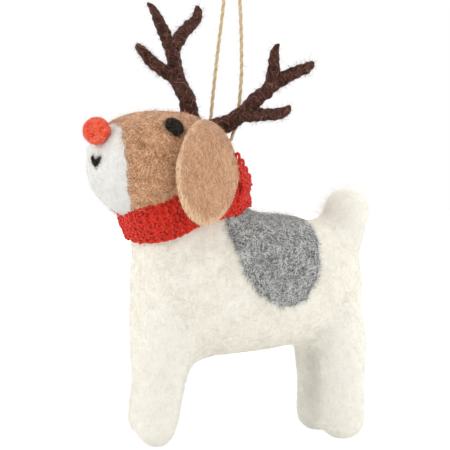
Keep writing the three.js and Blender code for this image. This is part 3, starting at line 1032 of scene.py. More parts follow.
    def felted_skin(self, made: dict[str, Mesh]) -> Mesh:
        """Joins the forms into one skin and fills the creases between them.

        Args:
            made: the forms.

        Returns:
            Points in millimetres and faces of the joined skin.
        """
        points, faces = joined(list(made.values()))
        mesh = bpy.data.meshes.new("felting")
        mesh.from_pydata(points.tolist(), [], faces)
        rough = linked("felting", mesh)
        remesh = rough.modifiers.new("felting", "REMESH")
        remesh.mode = "VOXEL"
        remesh.voxel_size = self.voxel
        done = bpy.data.meshes.new_from_object(rough.evaluated_get(bpy.context.evaluated_depsgraph_get()))
        skin = np.array([v.co for v in done.vertices], float)
        rows = [list(p.vertices) for p in done.polygons]
        edges = np.array([e.vertices for e in done.edges])
        bpy.data.objects.remove(rough)
        bpy.data.meshes.remove(mesh)
        bpy.data.meshes.remove(done)
        return self.fill_creases(skin, rows, edges), rows

    def fill_creases(self, points: np.ndarray, faces: Faces, edges: np.ndarray) -> np.ndarray:
        """Smooths the skin and lets the hollows between forms fill out.

        Args:
            points: the skin's points.
            faces: its faces.
            edges: its edges.

        Returns:
            The moved points.
        """
        count = np.bincount(edges.ravel(), minlength=len(points))[:, None]
        normal = face_normals(points, faces)
        for step in range(self.smooth_steps + self.fillet_steps):
            total = np.zeros_like(points)
            for k in range(3):
                total[:, k] = np.bincount(edges[:, 0], points[edges[:, 1], k], len(points))
                total[:, k] += np.bincount(edges[:, 1], points[edges[:, 0], k], len(points))
            pull = total / count - points
            if step < self.smooth_steps:
                points = points + self.smooth_pull * pull
                continue
            if step % self.fillet_renewal == self.smooth_steps:
                normal = face_normals(points, faces)
            out = (pull * normal).sum(1)
            along = pull - normal * out[:, None]
            points = points + self.fillet_slide * along + normal * (self.fillet_pull * np.maximum(out, 0))[:, None]
        return points

    def build(self) -> None:
        """Builds the skin, parts it into torso, legs and tail, and dresses each."""
        made = self.forms()
        points, faces = self.felted_skin(made)
        points = points + face_normals(points, faces) * lumpy(points, self.lumps)
        self.skin = Form(hung(points), faces, face_normals(points, faces))
        names = list(made)
        trees = [BVHTree.FromPolygons(p.tolist(), f) for p, f in made.values()]
        owner = []
        for face in faces:
            middle = Vector(points[face].mean(0))
            gaps = [tree.find_nearest(middle)[3] for tree in trees]
            owner.append(names[int(np.argmin(gaps))].split(".")[0])
        coats = {"torso": self.torso_coat, "tail": self.tail_coat}
        for number, node in enumerate(sorted(set(owner))):
            part = self.parted([face for face, name in zip(faces, owner) if name == node])
            # Legs and tail take the lighter copies of the cream wool and half as many dark flecks: a painted highlight
            # for the rim light on them.
            felt, wool, sparse = (CREAM_FELT, CREAM_LOOSE, 4) if node == "torso" else (LIT_CREAM_FELT, LIT_PALE_LOOSE, 8)
            piece = part.piece(f"{node}_felt", felt, Body.DOG, [node])
            coat = coats.get(node, self.leg_coat)
            open_part = Form(part.points, [f for f in part.faces if len(f) == 4])
            Fibres(coat, (1.2, 3.4), 0.05, 0.2, Lay.FLAT, 20 + number).grow(
                f"{node}_fibres", open_part, wool)
            Fibres(coat // sparse, (0.4, 1.3), 0.06, 0.1, Lay.FLAT, 30 + number).grow(
                f"{node}_flecks", open_part, CREAM_FLECKS)
            # All standing fuzz takes the lighter fibres: a painted highlight for the glow at the silhouettes.
            Fibres(coat, (1.2, 3.6), 0.032, 2.3, Lay.STANDING, 40 + number).grow(
                f"{node}_fuzz", open_part, LIT_PALE_LOOSE)

    def parted(self, faces: Faces) -> Form:
        """Takes some faces of the skin and closes the opening behind them.

        Args:
            faces: the faces to take.

        Returns:
            A closed form with the skin's own normals.
        """
        used = np.unique(np.concatenate([np.array(face) for face in faces]))
        lookup = {int(old): new for new, old in enumerate(used)}
        rows = [[lookup[k] for k in face] for face in faces]
        points, normals = self.skin.points[used], self.skin.normals[used]
        sides = {(row[k], row[(k + 1) % len(row)]) for row in rows for k in range(len(row))}
        follow = {b: a for a, b in sides if (b, a) not in sides}
        while follow:
            loop = [next(iter(follow))]
            while loop[-1] in follow:
                loop.append(follow.pop(loop[-1]))
            hub = points[loop].mean(0) - normals[loop].mean(0) * self.cap_depth * MM
            rows += [[a, b, len(points)] for a, b in zip(loop, loop[1:])]
            points = np.vstack([points, hub])
            normals = np.vstack([normals, [[0, 0, 1]]])
        return Form(points, rows, normals)


@dataclass
class SaddlePatch:
    """The heather-grey wool felted over the back. Sizes are in millimetres."""

    torso: Torso
    front: float = -8.0
    back: float = 16.6
    drop: float = 24.3
    rise: float = 1.8
    thickness: float = 0.6
    tuck: float = 2.0
    # Depth, rate and shift of each wave of the lower edge
    ragged: tuple[tuple[float, float, float], ...] = ((0.5, 1.9, 0.0), (0.3, 4.3, 1.0))
    rim_columns: int = 6
    rim_rows: int = 5
    proud: float = 0.12
    sunk: float = 0.15
    rows: int = 64
    columns: int = 150

    def low_edge(self, top: float) -> tuple[np.ndarray, np.ndarray]:
        """Traces the tongue's lower edge.

        Args:
            top: the height of the patch's top.

        Returns:
            Places along the body, and the edge's height at each.
        """
        low = top - self.drop - self.thickness
        t = np.linspace(0, 1, 60)[:, None]

        def curve(a: Sequence[float], b: Sequence[float], c: Sequence[float], d: Sequence[float]) -> np.ndarray:
            """Traces one cubic curve of the edge through four control points."""
            a, b, c, d = (np.array(p, float) for p in (a, b, c, d))
            return a * (1 - t) ** 3 + 3 * b * t * (1 - t) ** 2 + 3 * c * t ** 2 * (1 - t) + d * t ** 3

        fore = curve(
            (self.front, top), (self.front + 1, top - self.drop * 0.6), (self.front + 7, low), (self.back - 9, low),
        )
        aft = curve(
            (self.back - 9, low), (self.back - 1, low), (self.back + 2, top - self.drop * 0.5), (self.back - 1, top),
        )
        edge = np.vstack([fore, aft[1:]])
        return edge[:, 0], edge[:, 1]

    def build(self) -> None:
        """Lays the patch on the skin of the body that carries it."""
        torso = self.torso
        tree = BVHTree.FromPolygons(torso.skin.points.tolist(), torso.skin.faces)
        top = torso.belt + torso.barrel[2] / 2 + self.rise
        along, height = self.low_edge(top)
        keep = np.concatenate([[True], np.diff(along) > 0])
        keep &= along <= self.back
        stations = np.linspace(self.front + 0.05, along[keep].max() - 0.05, self.rows)
        lows = np.interp(stations, along[keep], height[keep])
        for depth, rate, shift in self.ragged:
            lows = lows + depth * np.sin(rate * stations + shift)
        sweep = np.radians(np.linspace(-150, 150, 241))
        spots, outs = [], []
        lid = (top + self.tuck + HANG[2]) * MM
        half = len(sweep) // 2
        for y, low in zip(stations, lows):
            start = Vector(hung(np.array([[0, y, torso.belt]]))[0])
            hits = [tree.ray_cast(start, Vector((math.sin(a), 0, math.cos(a)))) for a in sweep]
            trail = np.array([hit[0] for hit in hits])
            outward = np.array([hit[1] for hit in hits])
            share = np.minimum(1, (lid - start.z) / np.maximum(trail[:, 2] - start.z, 1e-6))
            middle = np.array(start)
            trail = np.where((trail[:, 2] > lid)[:, None], middle + (trail - middle) * share[:, None], trail)
            high = trail[:, 2] / MM - HANG[2]
            left = np.interp(-low, -high[half:], sweep[half:])
            right = np.interp(-low, -high[:half + 1][::-1], -sweep[:half + 1][::-1])
            want = np.linspace(-right, left, self.columns)
            spots.append(np.stack([np.interp(want, sweep, trail[:, k]) for k in range(3)], -1))
            outs.append(np.stack([np.interp(want, sweep, outward[:, k]) for k in range(3)], -1))
        self.skin_over(np.array(spots), np.array(outs))

    def skin_over(self, spots: np.ndarray, outs: np.ndarray) -> None:
        """Thickens the laid grid into a wool skin and dresses it.

        Args:
            spots: the grid's points on the body.
            outs: the body's normals at them.
        """
        across = np.minimum(np.arange(self.columns), np.arange(self.columns)[::-1]) / self.rim_columns
        down = np.minimum(np.arange(self.rows), np.arange(self.rows)[::-1]) / self.rim_rows
        rim = np.minimum(1, np.minimum.outer(down, across))
        swell = np.sqrt(np.clip(rim * (2 - rim), 0, 1))
        lumps = 1 + 0.25 * ripple(spots.reshape(-1, 3) / MM, 2.6, 6).reshape(swell.shape)
        upper = spots + outs * ((self.proud + self.thickness * swell * lumps) * MM)[..., None]
        lower = spots - outs * (self.sunk * MM)
        points = np.vstack([upper.reshape(-1, 3), lower.reshape(-1, 3)])
        over, under, sides = sheet_faces(self.columns, self.rows)
        middle = (self.rows // 2) * self.columns + self.columns // 2
        form = Form(points, facing(points, over + under + sides, middle, outs.reshape(-1, 3)[middle]))
        patch = form.piece("saddle_felt", GREY_FELT, Body.DOG, ["saddle_patch"])
        top = Form(form.points, form.faces[:len(over)])
        Fibres(11500, (1.8, 5.4), 0.07, 0.45, Lay.FLAT, 61).grow("saddle_fibres", top, GREY_LOOSE)
        Fibres(4600, (1.2, 3.4), 0.04, 0.9, Lay.STANDING, 62).grow("saddle_fuzz", top, GREY_LOOSE)
        cells = np.arange(len(over)).reshape(self.rows - 1, self.columns - 1)
        outer = np.concatenate([cells[:2].ravel(), cells[-2:].ravel(), cells[:, :2].ravel(), cells[:, -2:].ravel()])
        edge = Form(form.points, [form.faces[k] for k in outer])
        Fibres(3400, (1.4, 4.6), 0.055, 0.5, Lay.FLAT, 63).grow(
            "saddle_edge_fibres", edge, GREY_LOOSE, over=self.torso.skin)


@dataclass
class Head:
    """The brown head with its white muzzle, nose, eyes and mouth. Sizes are in millimetres."""

    size: tuple[float, float, float] = (30.0, 39.1, 29.4)
    bluntness: float = 2.35
    place: tuple[float, float, float] = (0.0, -23.7, 74.2)
    turn: float = 17.0
    muzzle_depth: float = 8.0
    muzzle_curve: float = 0.042
    muzzle_lean: float = 2.7
    # Each zone starts this far from the head's middle and fades in over the second length
    muzzle_lean_zone: tuple[float, float] = (13.0, 26.0)
    muzzle_wander: float = 0.5
    chin_trim: float = 0.085
    chin_reach: float = 6.0
    chin_zone: tuple[float, float] = (6.0, 6.0)
    far_zone: tuple[float, float] = (4.0, 8.0)
    nose_diameter: float = 7.3
    nose_height: float = 10.0
    nose_sink: float = 0.1
    eye_width: float = 4.7
    eye_tallness: float = 1.16
    eye_bulge: float = 3.9
    eye_setback: float = -2.0
    eye_height: float = 11.0
    mouth_size: tuple[float, float] = (4.8, 2.8)
    mouth_drop: float = 1.9
    mouth_points: int = 40
    ring_points: int = 132
    muzzle_rings: int = 26
    rear_rings: int = 64
    # Height, width and seed of each kind of lump
    lumps: tuple[tuple[float, float, int], ...] = ((0.22, 7.0, 3), (0.12, 3.0, 4))
    skin: Form | None = None

    def set_out(self, points: np.ndarray) -> np.ndarray:
        """Moves points from the head's own frame to metres below the hook."""
        return hung(turned_z(points, self.turn) + np.array(self.place))

    def reach(self, used: float) -> float:
        """Share of a half size that is left when some of the form's sum is used."""
        return max(1 - used, 0.0) ** (1 / self.bluntness)

    def used(self, along: float, axis: int) -> float:
        """Share of the form's sum that a distance from the middle uses along one axis."""
        return abs(along / (self.size[axis] / 2)) ** self.bluntness

    def face_at(self, across: float, up: float) -> float:
        """How far forward the face reaches over a point of its front view."""
        return -self.size[1] / 2 * self.reach(self.used(across, 0) + self.used(up, 2))

    def side_at(self, back: float, up: float) -> float:
        """Distance of the head's side from its middle at a height and a place along it."""
        return self.size[0] / 2 * self.reach(self.used(up, 2) + self.used(back, 1))

    def crown_at(self, across: float, back: float) -> float:
        """Height of the head's surface over a point of its plan."""
        return self.size[2] / 2 * self.reach(self.used(across, 0) + self.used(back, 1))

    def rings(self) -> np.ndarray:
        """Sets out rings along the head so that one lies on the muzzle's edge.

        Returns:
            Points as rings by turns, from the nose end to the nape.
        """
        around, fore, aft = self.ring_points, self.muzzle_rings, self.rear_rings
        angle = np.linspace(0, 2 * math.pi, around, endpoint=False)
        half = np.array(self.size) / 2
        section = (
            np.abs(np.cos(angle) / half[0]) ** self.bluntness + np.abs(np.sin(angle) / half[2]) ** self.bluntness
        ) ** (-1 / self.bluntness)

        def spread(y: np.ndarray) -> np.ndarray:
            """Radius of the section at places along the head."""
            left = np.clip(1 - np.abs(y / half[1]) ** self.bluntness, 0, 1)
            return section * left ** (1 / self.bluntness)

        edge = np.full(around, -half[1] + self.muzzle_depth)
        for _ in range(12):
            x, z = np.cos(angle) * spread(edge), np.sin(angle) * spread(edge)
            want = -half[1] + self.muzzle_depth - self.muzzle_curve * x ** 2
            want -= self.muzzle_lean * np.clip((z + self.muzzle_lean_zone[0]) / self.muzzle_lean_zone[1], 0, 1) ** 2
            want += self.muzzle_wander * np.sin(9 * angle) * np.sin(4 * angle + 1)
            underside = np.clip((-z - self.chin_zone[0]) / self.chin_zone[1], 0, 1)
            far_side = np.clip((self.far_zone[0] - x) / self.far_zone[1], 0, 1)
            want += self.chin_reach * underside * far_side
            edge = 0.5 * edge + 0.5 * np.maximum(want, -half[1] * 0.985)
        places = [-half[1] + (edge + half[1]) * (k / fore) ** 2 for k in range(1, fore + 1)]
        places += [edge + (half[1] - edge) * (1 - (1 - k / aft) ** 1.6) for k in range(1, aft)]
        rows = [np.stack([np.cos(angle) * spread(y), y, np.sin(angle) * spread(y)], -1) for y in places]
        return np.array(rows)

    def build(self) -> None:
        """Builds the head's skin, parts the muzzle from it and adds the face."""
        around = self.ring_points
        grid = self.rings()
        nose_end, nape_end = [0, -self.size[1] / 2, 0], [0, self.size[1] / 2, 0]
        points = np.vstack([grid.reshape(-1, 3), nose_end, nape_end])
        low, fore = np.clip(-points[:, 2] / (self.size[2] / 2), 0, 1), np.clip(-points[:, 1] / (self.size[1] / 2), 0, 1)
        points = points * (1 - self.chin_trim * (low * fore))[:, None]
        count = len(points) - 2
        base = (len(grid) - 1) * around
        steps = [(k, (k + 1) % around) for k in range(around)]
        body = facing(points, ring_faces(around, len(grid)), base // 2, points[base // 2])
        tip = facing(points, [[count, b, a] for a, b in steps], count, nose_end)
        nape = facing(points, [[count + 1, base + a, base + b] for a, b in steps], count + 1, nape_end)
        faces = body + tip + nape
        points = points + face_normals(points, faces) * lumpy(points, self.lumps)
        self.skin = Form(self.set_out(points), faces, turned_z(face_normals(points, faces), self.turn))
        split = (self.muzzle_rings - 1) * around
        edge = -self.size[1] / 2 + self.muzzle_depth
        muzzle = self.half(body[:split] + tip, edge + 2, split)
        head = self.half(body[split:] + nape, edge - 4, split)
        muzzle.piece("muzzle_felt", WHITE_FELT, Body.DOG, ["muzzle"])
        head.piece("head_felt", TAN_FELT, Body.DOG, ["head"])
        open_muzzle = Form(muzzle.points, muzzle.faces[:-around])
        open_head = Form(head.points, head.faces[:-around])
        Fibres(3600, (1.6, 4.0), 0.06, 0.25, Lay.FLAT, 71).grow(
            "muzzle_fibres", open_muzzle, WHITE_LOOSE)
        Fibres(1500, (1.0, 2.4), 0.035, 1.1, Lay.STANDING, 72).grow(
            "muzzle_fuzz", open_muzzle, WHITE_LOOSE)
        Fibres(15000, (1.5, 4.4), 0.055, 0.3, Lay.FLAT, 73).grow("head_fibres", open_head, TAN_LOOSE)
        Fibres(6500, (0.9, 2.6), 0.04, 1.2, Lay.STANDING, 74).grow("head_fuzz", open_head, TAN_LOOSE)
        self.mixed_edge(body[split - around:split], body[split:split + around])
        self.nose()
        self.eyes()
        self.mouth()

    def mixed_edge(self, fore: Faces, aft: Faces) -> None:
        """Lets strands of each wool run over the edge between muzzle and head.

        Args:
            fore: the skin's faces just before the edge.
            aft: the faces just behind it.
        """
        turn = math.radians(self.turn)
        along = (-math.sin(turn), math.cos(turn), 0.0)
        Fibres(1100, (1.2, 3.2), 0.04, 0.16, Lay.FLAT, 75, along).grow(
            "muzzle_edge_fibres", Form(self.skin.points, fore), WHITE_LOOSE, over=self.skin)
        Fibres(800, (1.0, 2.6), 0.04, 0.16, Lay.FLAT, 76, along).grow(
            "head_edge_fibres", Form(self.skin.points, aft), TAN_LOOSE, over=self.skin)

    def half(self, faces: Faces, inside: float, split: int) -> Form:
        """Closes one side of the parted head with a fan to a point inside.

        Args:
            faces: the skin's faces on this side.
            inside: the place along the head of the fan's middle.
            split: index of the first point of the parting ring.

        Returns:
            A closed form.
        """
        used = sorted(set(k for face in faces for k in face))
        lookup = {old: new for new, old in enumerate(used)}
        rows = [[lookup[k] for k in face] for face in faces]
        ring = [lookup[split + k] for k in range(self.ring_points)]
        hub = len(used)
        forward = {(row[k], row[(k + 1) % len(row)]) for row in rows for k in range(len(row))}
        for a, b in zip(ring, ring[1:] + ring[:1]):
            rows.append([hub, b, a] if (a, b) in forward else [hub, a, b])
        points = np.vstack([self.skin.points[used], self.set_out(np.array([[0, inside, 0]]))])
        return Form(points, rows, np.vstack([self.skin.normals[used], [[0, 0, 1]]]))

    def blob(self, size: Sequence[float], bluntness: float, lump: float, seed: int) -> Mesh:
        """Makes a small lumpy ball of felt.

        Args:
            size: width, length and height.
            bluntness: how square it is.
            lump: how far lumps stand out.
            seed: moves the lumps.

        Returns:
            Points and faces.
        """
        ways, faces = ball_grid(48, 32)
        points = stuffed(ways, size, bluntness)
        return points + ways * (lump * ripple(points, 2.2, seed))[:, None], faces

    def nose(self) -> None:
        """Builds the red felt ball."""
        points, faces = self.blob([self.nose_diameter] * 3, 2.0, 0.16, 8)
        front = self.face_at(0, self.nose_height) - self.nose_diameter / 2 + self.nose_sink
        points = points + [0, front, self.nose_height]
        form = Form(self.set_out(points), faces)
        form.piece("nose_felt", RED_FELT, Body.DOG, ["nose_ball"])
        Fibres(1300, (1.0, 2.4), 0.075, 0.2, Lay.FLAT, 81).grow("nose_fibres", form, RED_LOOSE)
        Fibres(420, (0.6, 1.6), 0.035, 0.8, Lay.STANDING, 82).grow("nose_fuzz", form, RED_LOOSE)

    def eyes(self) -> None:
        """Builds the two black wool eyes."""
        out = self.side_at(self.eye_setback, self.eye_height)
        for side, name in ((1, "left"), (-1, "right")):
            size = [self.eye_bulge, self.eye_width, self.eye_width * self.eye_tallness]
            points, faces = self.blob(size, 2.0, 0.34, 10 + side)
            tilt = math.atan2(self.eye_height, out)
            c, s = math.cos(tilt), math.sin(tilt)
            points = np.stack([
                points[:, 0] * c - points[:, 2] * s, points[:, 1], points[:, 0] * s + points[:, 2] * c,
            ], -1) + [out, self.eye_setback, self.eye_height]
            if side < 0:
                points = points * [-1, 1, 1]
                faces = [face[::-1] for face in faces]
            form = Form(self.set_out(points), faces)
            form.piece(f"{name}_eye_felt", BLACK_FELT, Body.DOG, [f"{name}_eye"])
            Fibres(420, (0.9, 2.2), 0.06, 0.3, Lay.FLAT, 84 + side).grow(
                f"{name}_eye_fibres", form, BLACK_LOOSE)
            Fibres(420, (0.5, 1.4), 0.035, 0.8, Lay.STANDING, 284 + side).grow(
                f"{name}_eye_fuzz", form, BLACK_LOOSE)
            Fibres(620, (1.6, 3.7), 0.04, 0.5, Lay.FLAT, 184 + side).grow(
                f"{name}_eye_edge_fibres", form, BLACK_LOOSE, over=self.skin)

    def mouth(self) -> None:
        """Builds the small two-lobed mouth on the muzzle."""
        wide, tall = self.mouth_size
        half_outline = [(0, 0.2), (0.42, 0.55), (0.8, 1), (1, 0.75), (0.72, 0.05), (0.3, -0.75), (0, -1)]
        corners = half_outline + [(-a, b) for a, b in half_outline[-2::-1]]
        count = self.mouth_points
        outline = smooth_line([(a, b, 0) for a, b in corners], count)[:count]
        x, z = outline[:, 0] * wide / 2, outline[:, 1] * tall / 2
        rings = []
        for share, proud in ((1.0, -0.3), (0.97, 0.2), (0.8, 0.5), (0.45, 0.65), (0.1, 0.7)):
            up = z * share + self.mouth_drop
            front = np.array([self.face_at(a, b) for a, b in zip(x * share, up)])
            rings.append(np.stack([x * share, front - proud, up], -1))
        points = np.vstack(rings)
        last = (len(rings) - 1) * count
        faces = ring_faces(count, len(rings)) + [list(range(count)), list(range(last, last + count))[::-1]]
        faces = facing(points, faces, 2 * count + count // 4, [0, -1, 0])
        form = Form(self.set_out(points), faces)
        form.piece("mouth_felt", BLACK_FELT, Body.DOG, ["mouth"])
        side = Form(form.points, form.faces[:-2])
        Fibres(150, (0.8, 1.8), 0.06, 0.25, Lay.FLAT, 88).grow("mouth_fibres", side, BLACK_LOOSE)
        Fibres(260, (1.2, 3.2), 0.035, 0.5, Lay.FLAT, 89).grow(
            "mouth_edge_fibres", side, BLACK_LOOSE, over=self.skin)


@dataclass
class Ears:
    """The two flap ears. Sizes are in millimetres."""

    head: Head
    length: float = 30.0
    width: float = 19.5
    thickness: float = 3.2
    bluntness: float = 2.0
    seat_height: float = 11.8
    setback: float = 4.2
    sink: float = 0.8
    fullness: float = 1.7
    sweep: float = 14.0
    taper: float = 0.3
    lie: float = 53.0
    flare: float = 9.0
    drape: float = 14.0
    seat_gap: float = 0.3
    rim_share: float = 0.55
    lumps: tuple[tuple[float, float, int], ...] = ((0.16, 5.0, 12),)

    def oval(self) -> Mesh:
        """Makes the flat oval that an ear is shaped from, as points and faces."""
        ways, faces = ball_grid(88, 60)
        return stuffed(ways, [self.thickness, self.width, self.length], self.bluntness), faces

    def flap(self) -> Mesh:
        """Drapes a flat oval over the left side of the head.

        Returns:
            Points in the head's frame, and faces.
        """
        points, faces = self.oval()
        rise = np.maximum(0, points[:, 2] / (self.length / 2))
        points[:, 1] *= 1 - self.taper * rise
        points[:, 0] *= np.where(points[:, 0] > 0, self.fullness, 1.0)
        points = turned_x(points, -self.sweep)
        lie, flare = math.radians(self.lie), math.radians(self.flare)
        bend = self.drape / (lie - flare)
        down = self.length / 2 - points[:, 2]
        hang = np.maximum(0, down - self.drape)
        turn = lie - (down - hang) / bend
        out = bend * (np.cos(turn) - math.cos(lie)) + hang * math.sin(flare)
        up = bend * (np.sin(turn) - math.sin(lie)) - hang * math.cos(flare)
        thick = points[:, 0]
        offset = self.thickness / 2 + self.seat_gap - self.sink
        root = [
            self.head.side_at(self.setback, self.seat_height) + offset * math.cos(lie), self.setback,
            self.seat_height + offset * math.sin(lie),
        ]
        draped = np.stack([out + thick * np.cos(turn), points[:, 1], up + thick * np.sin(turn)], -1) + root
        return draped + face_normals(draped, faces) * lumpy(draped, self.lumps), faces

    def build(self) -> None:
        """Builds both ears, each on its own body."""
        points, faces = self.flap()
        depth = np.abs(self.oval()[0][:, 0])
        # The rim band near the ear's edge, where lighter fibres paint a rim highlight.
        rim = [k for k, face in enumerate(faces) if depth[face].max() < self.rim_share * self.thickness / 2]
        for side, body in ((1, Body.LEFT_EAR), (-1, Body.RIGHT_EAR)):
            placed = points * [side, 1, 1]
            rows = faces if side > 0 else [face[::-1] for face in faces]
            form = Form(self.head.set_out(placed), rows)
            ear = form.piece(f"{body.value}_felt", EAR_FELT, body, [body.value])
            edge = Form(form.points, [rows[k] for k in rim])
            Fibres(7000, (1.2, 3.4), 0.055, 0.18, Lay.FLAT, 90 + side, (0.0, 0.0, 1.0)).grow(
                f"{body.value}_fibres", form, EAR_LOOSE, body)
            # Painted highlight: extra light fibres over the rim band stand in for the rim light on the ear's edges.
            Fibres(2600, (1.0, 2.8), 0.06, 0.36, Lay.FLAT, 194 + side, (0.0, 0.0, 1.0)).grow(
                f"{body.value}_rim_highlight_fibres", edge, EAR_RIM_HIGHLIGHT, body, form)
            Fibres(5200, (0.8, 2.2), 0.035, 1.0, Lay.STANDING, 94 + side).grow(
                f"{body.value}_fuzz", form, EAR_LOOSE, body)


@dataclass
class Antlers:
    """The pair of wool-wound antlers. Routes are in the head's frame, from each root."""

    head: Head
    beam_diameter: float = 4.8
    tine_diameter: float = 3.7
    tip_share: float = 0.6
    sink: float = 5.0
    wrap: float = 2.3
    ridge: float = 0.3
    strand: float = 0.05
    lump: float = 0.24
    lump_width: float = 1.7
    thinnest: float = 0.12
    routes: dict[str, dict[str, list]] = field(default_factory=lambda: {
        "left": {
            "root": [4, 14.8],
            "beam": [
                [7.1, 0.3, 1.1], [11.2, 2.1, 3.9], [15.4, 3.9, 7.9], [19.5, 5.8, 11.9], [23.6, 4.0, 20.4],
                [24.3, 4.9, 22.6],
            ],
            "upper_tine": [[19.5, 5.8, 11.9], [23.3, 8.8, 14.2], [27, 12, 16.4], [28.2, 13.2, 17.8]],
            "lower_tine": [[11.2, 2.1, 3.9], [17.8, 4.4, 3.7], [22, 6.7, 4.2], [24.4, 7.5, 5.4], [25, 7.9, 6.4]],
        },
        "right": {
            "root": [-5.1, 14.8],
            "beam": [[-3, -0.1, 7.2], [-8.3, 0.15, 12.8], [-14.4, 2.1, 20.6], [-21.2, 0.9, 31.2], [-22.6, -0.4, 33.6]],
            "upper_tine": [
                [-14.4, 2.1, 20.6], [-14.4, 6.3, 25.6], [-15.6, 11, 29], [-16.2, 12.1, 31.2], [-16.4, 11.9, 32.8],
            ],
            "lower_tine": [[-8.3, 0.15, 12.8], [-12.5, -4.7, 17], [-15.1, -7.3, 20.8], [-15.4, -8.4, 22.4]],
        },
    })

    def winding(self, route: list, diameter: float, seed: int) -> Form:
        """Winds wool along a route: a lumpy tube with a slanting wrap.

        Args:
            route: points along the wire.
            diameter: its thickness at the root.
            seed: moves its lumps.

        Returns:
            The form, still in the head's frame.
        """
        line = smooth_line(route, 90)
        share = np.linspace(0, 1, len(line))
        run = share * np.linalg.norm(np.diff(line, axis=0), axis=1).sum()
        sides = 28
        turn = np.linspace(0, 2 * math.pi, sides, endpoint=False)
        base = diameter / 2 * (1 - (1 - self.tip_share) * share) * np.minimum(1, np.sqrt(1.03 - share ** 9))
        phase = run[:, None] / self.wrap * 2 * math.pi + turn[None]
        wobble = ripple(np.stack([run, run * 0 + seed, run * 0], -1), 3.0, seed)[:, None]
        ridge = self.ridge * np.abs(np.sin(phase / 2 + 1.6 * wobble)) - 0.12
        fine = self.strand * np.sin(phase * 4 + 3 * wobble)
        _, side, cross = carried_frames(line)
        spots = line[:, None] + 2 * (side[:, None] * np.cos(turn)[:, None] + cross[:, None] * np.sin(turn)[:, None])
        lumps = ripple(spots.reshape(-1, 3), self.lump_width, seed + 3).reshape(len(line), sides)
        radius = base[:, None] * (1 + self.lump * lumps) + (ridge + fine) * np.minimum(1, base[:, None])
        points, faces = tube(line, np.maximum(radius, self.thinnest), sides)
        return Form(points, faces)

    def build(self) -> None:
        """Winds both antlers and lets stray wool stand off them."""
        seed = 100
        for name, routes in self.routes.items():
            across, back = routes["root"]
            root = np.array([across, back, self.head.crown_at(across, back)])
            for part in ("beam", "upper_tine", "lower_tine"):
                seed += 4
                route = [root + np.array(p, float) for p in routes[part]]
                thick = self.tine_diameter
                if part == "beam":
                    outward = root / np.linalg.norm(root)
                    route = [root - outward * self.sink, root - outward * 1.0] + route
                    thick = self.beam_diameter
                form = self.winding(route, thick, seed)
                form.points = self.head.set_out(form.points)
                node = f"{name}_antler_{part}"
                form.piece(f"{node}_wool", ANTLER_FELT, Body.DOG, [node])
                Fibres(1700, (1.6, 3.8), 0.075, 0.3, Lay.FLAT, seed).grow(
                    f"{node}_fibres", form, ANTLER_LOOSE)
                Fibres(850, (0.9, 2.6), 0.035, 1.4, Lay.STANDING, seed + 1).grow(
                    f"{node}_fuzz", form, ANTLER_LOOSE)
        wire = DrawnWire().material()
        for name in self.routes:
            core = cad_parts[f"{name}_antler_wire"]
            core.data.materials.clear()
            core.data.materials.append(wire)


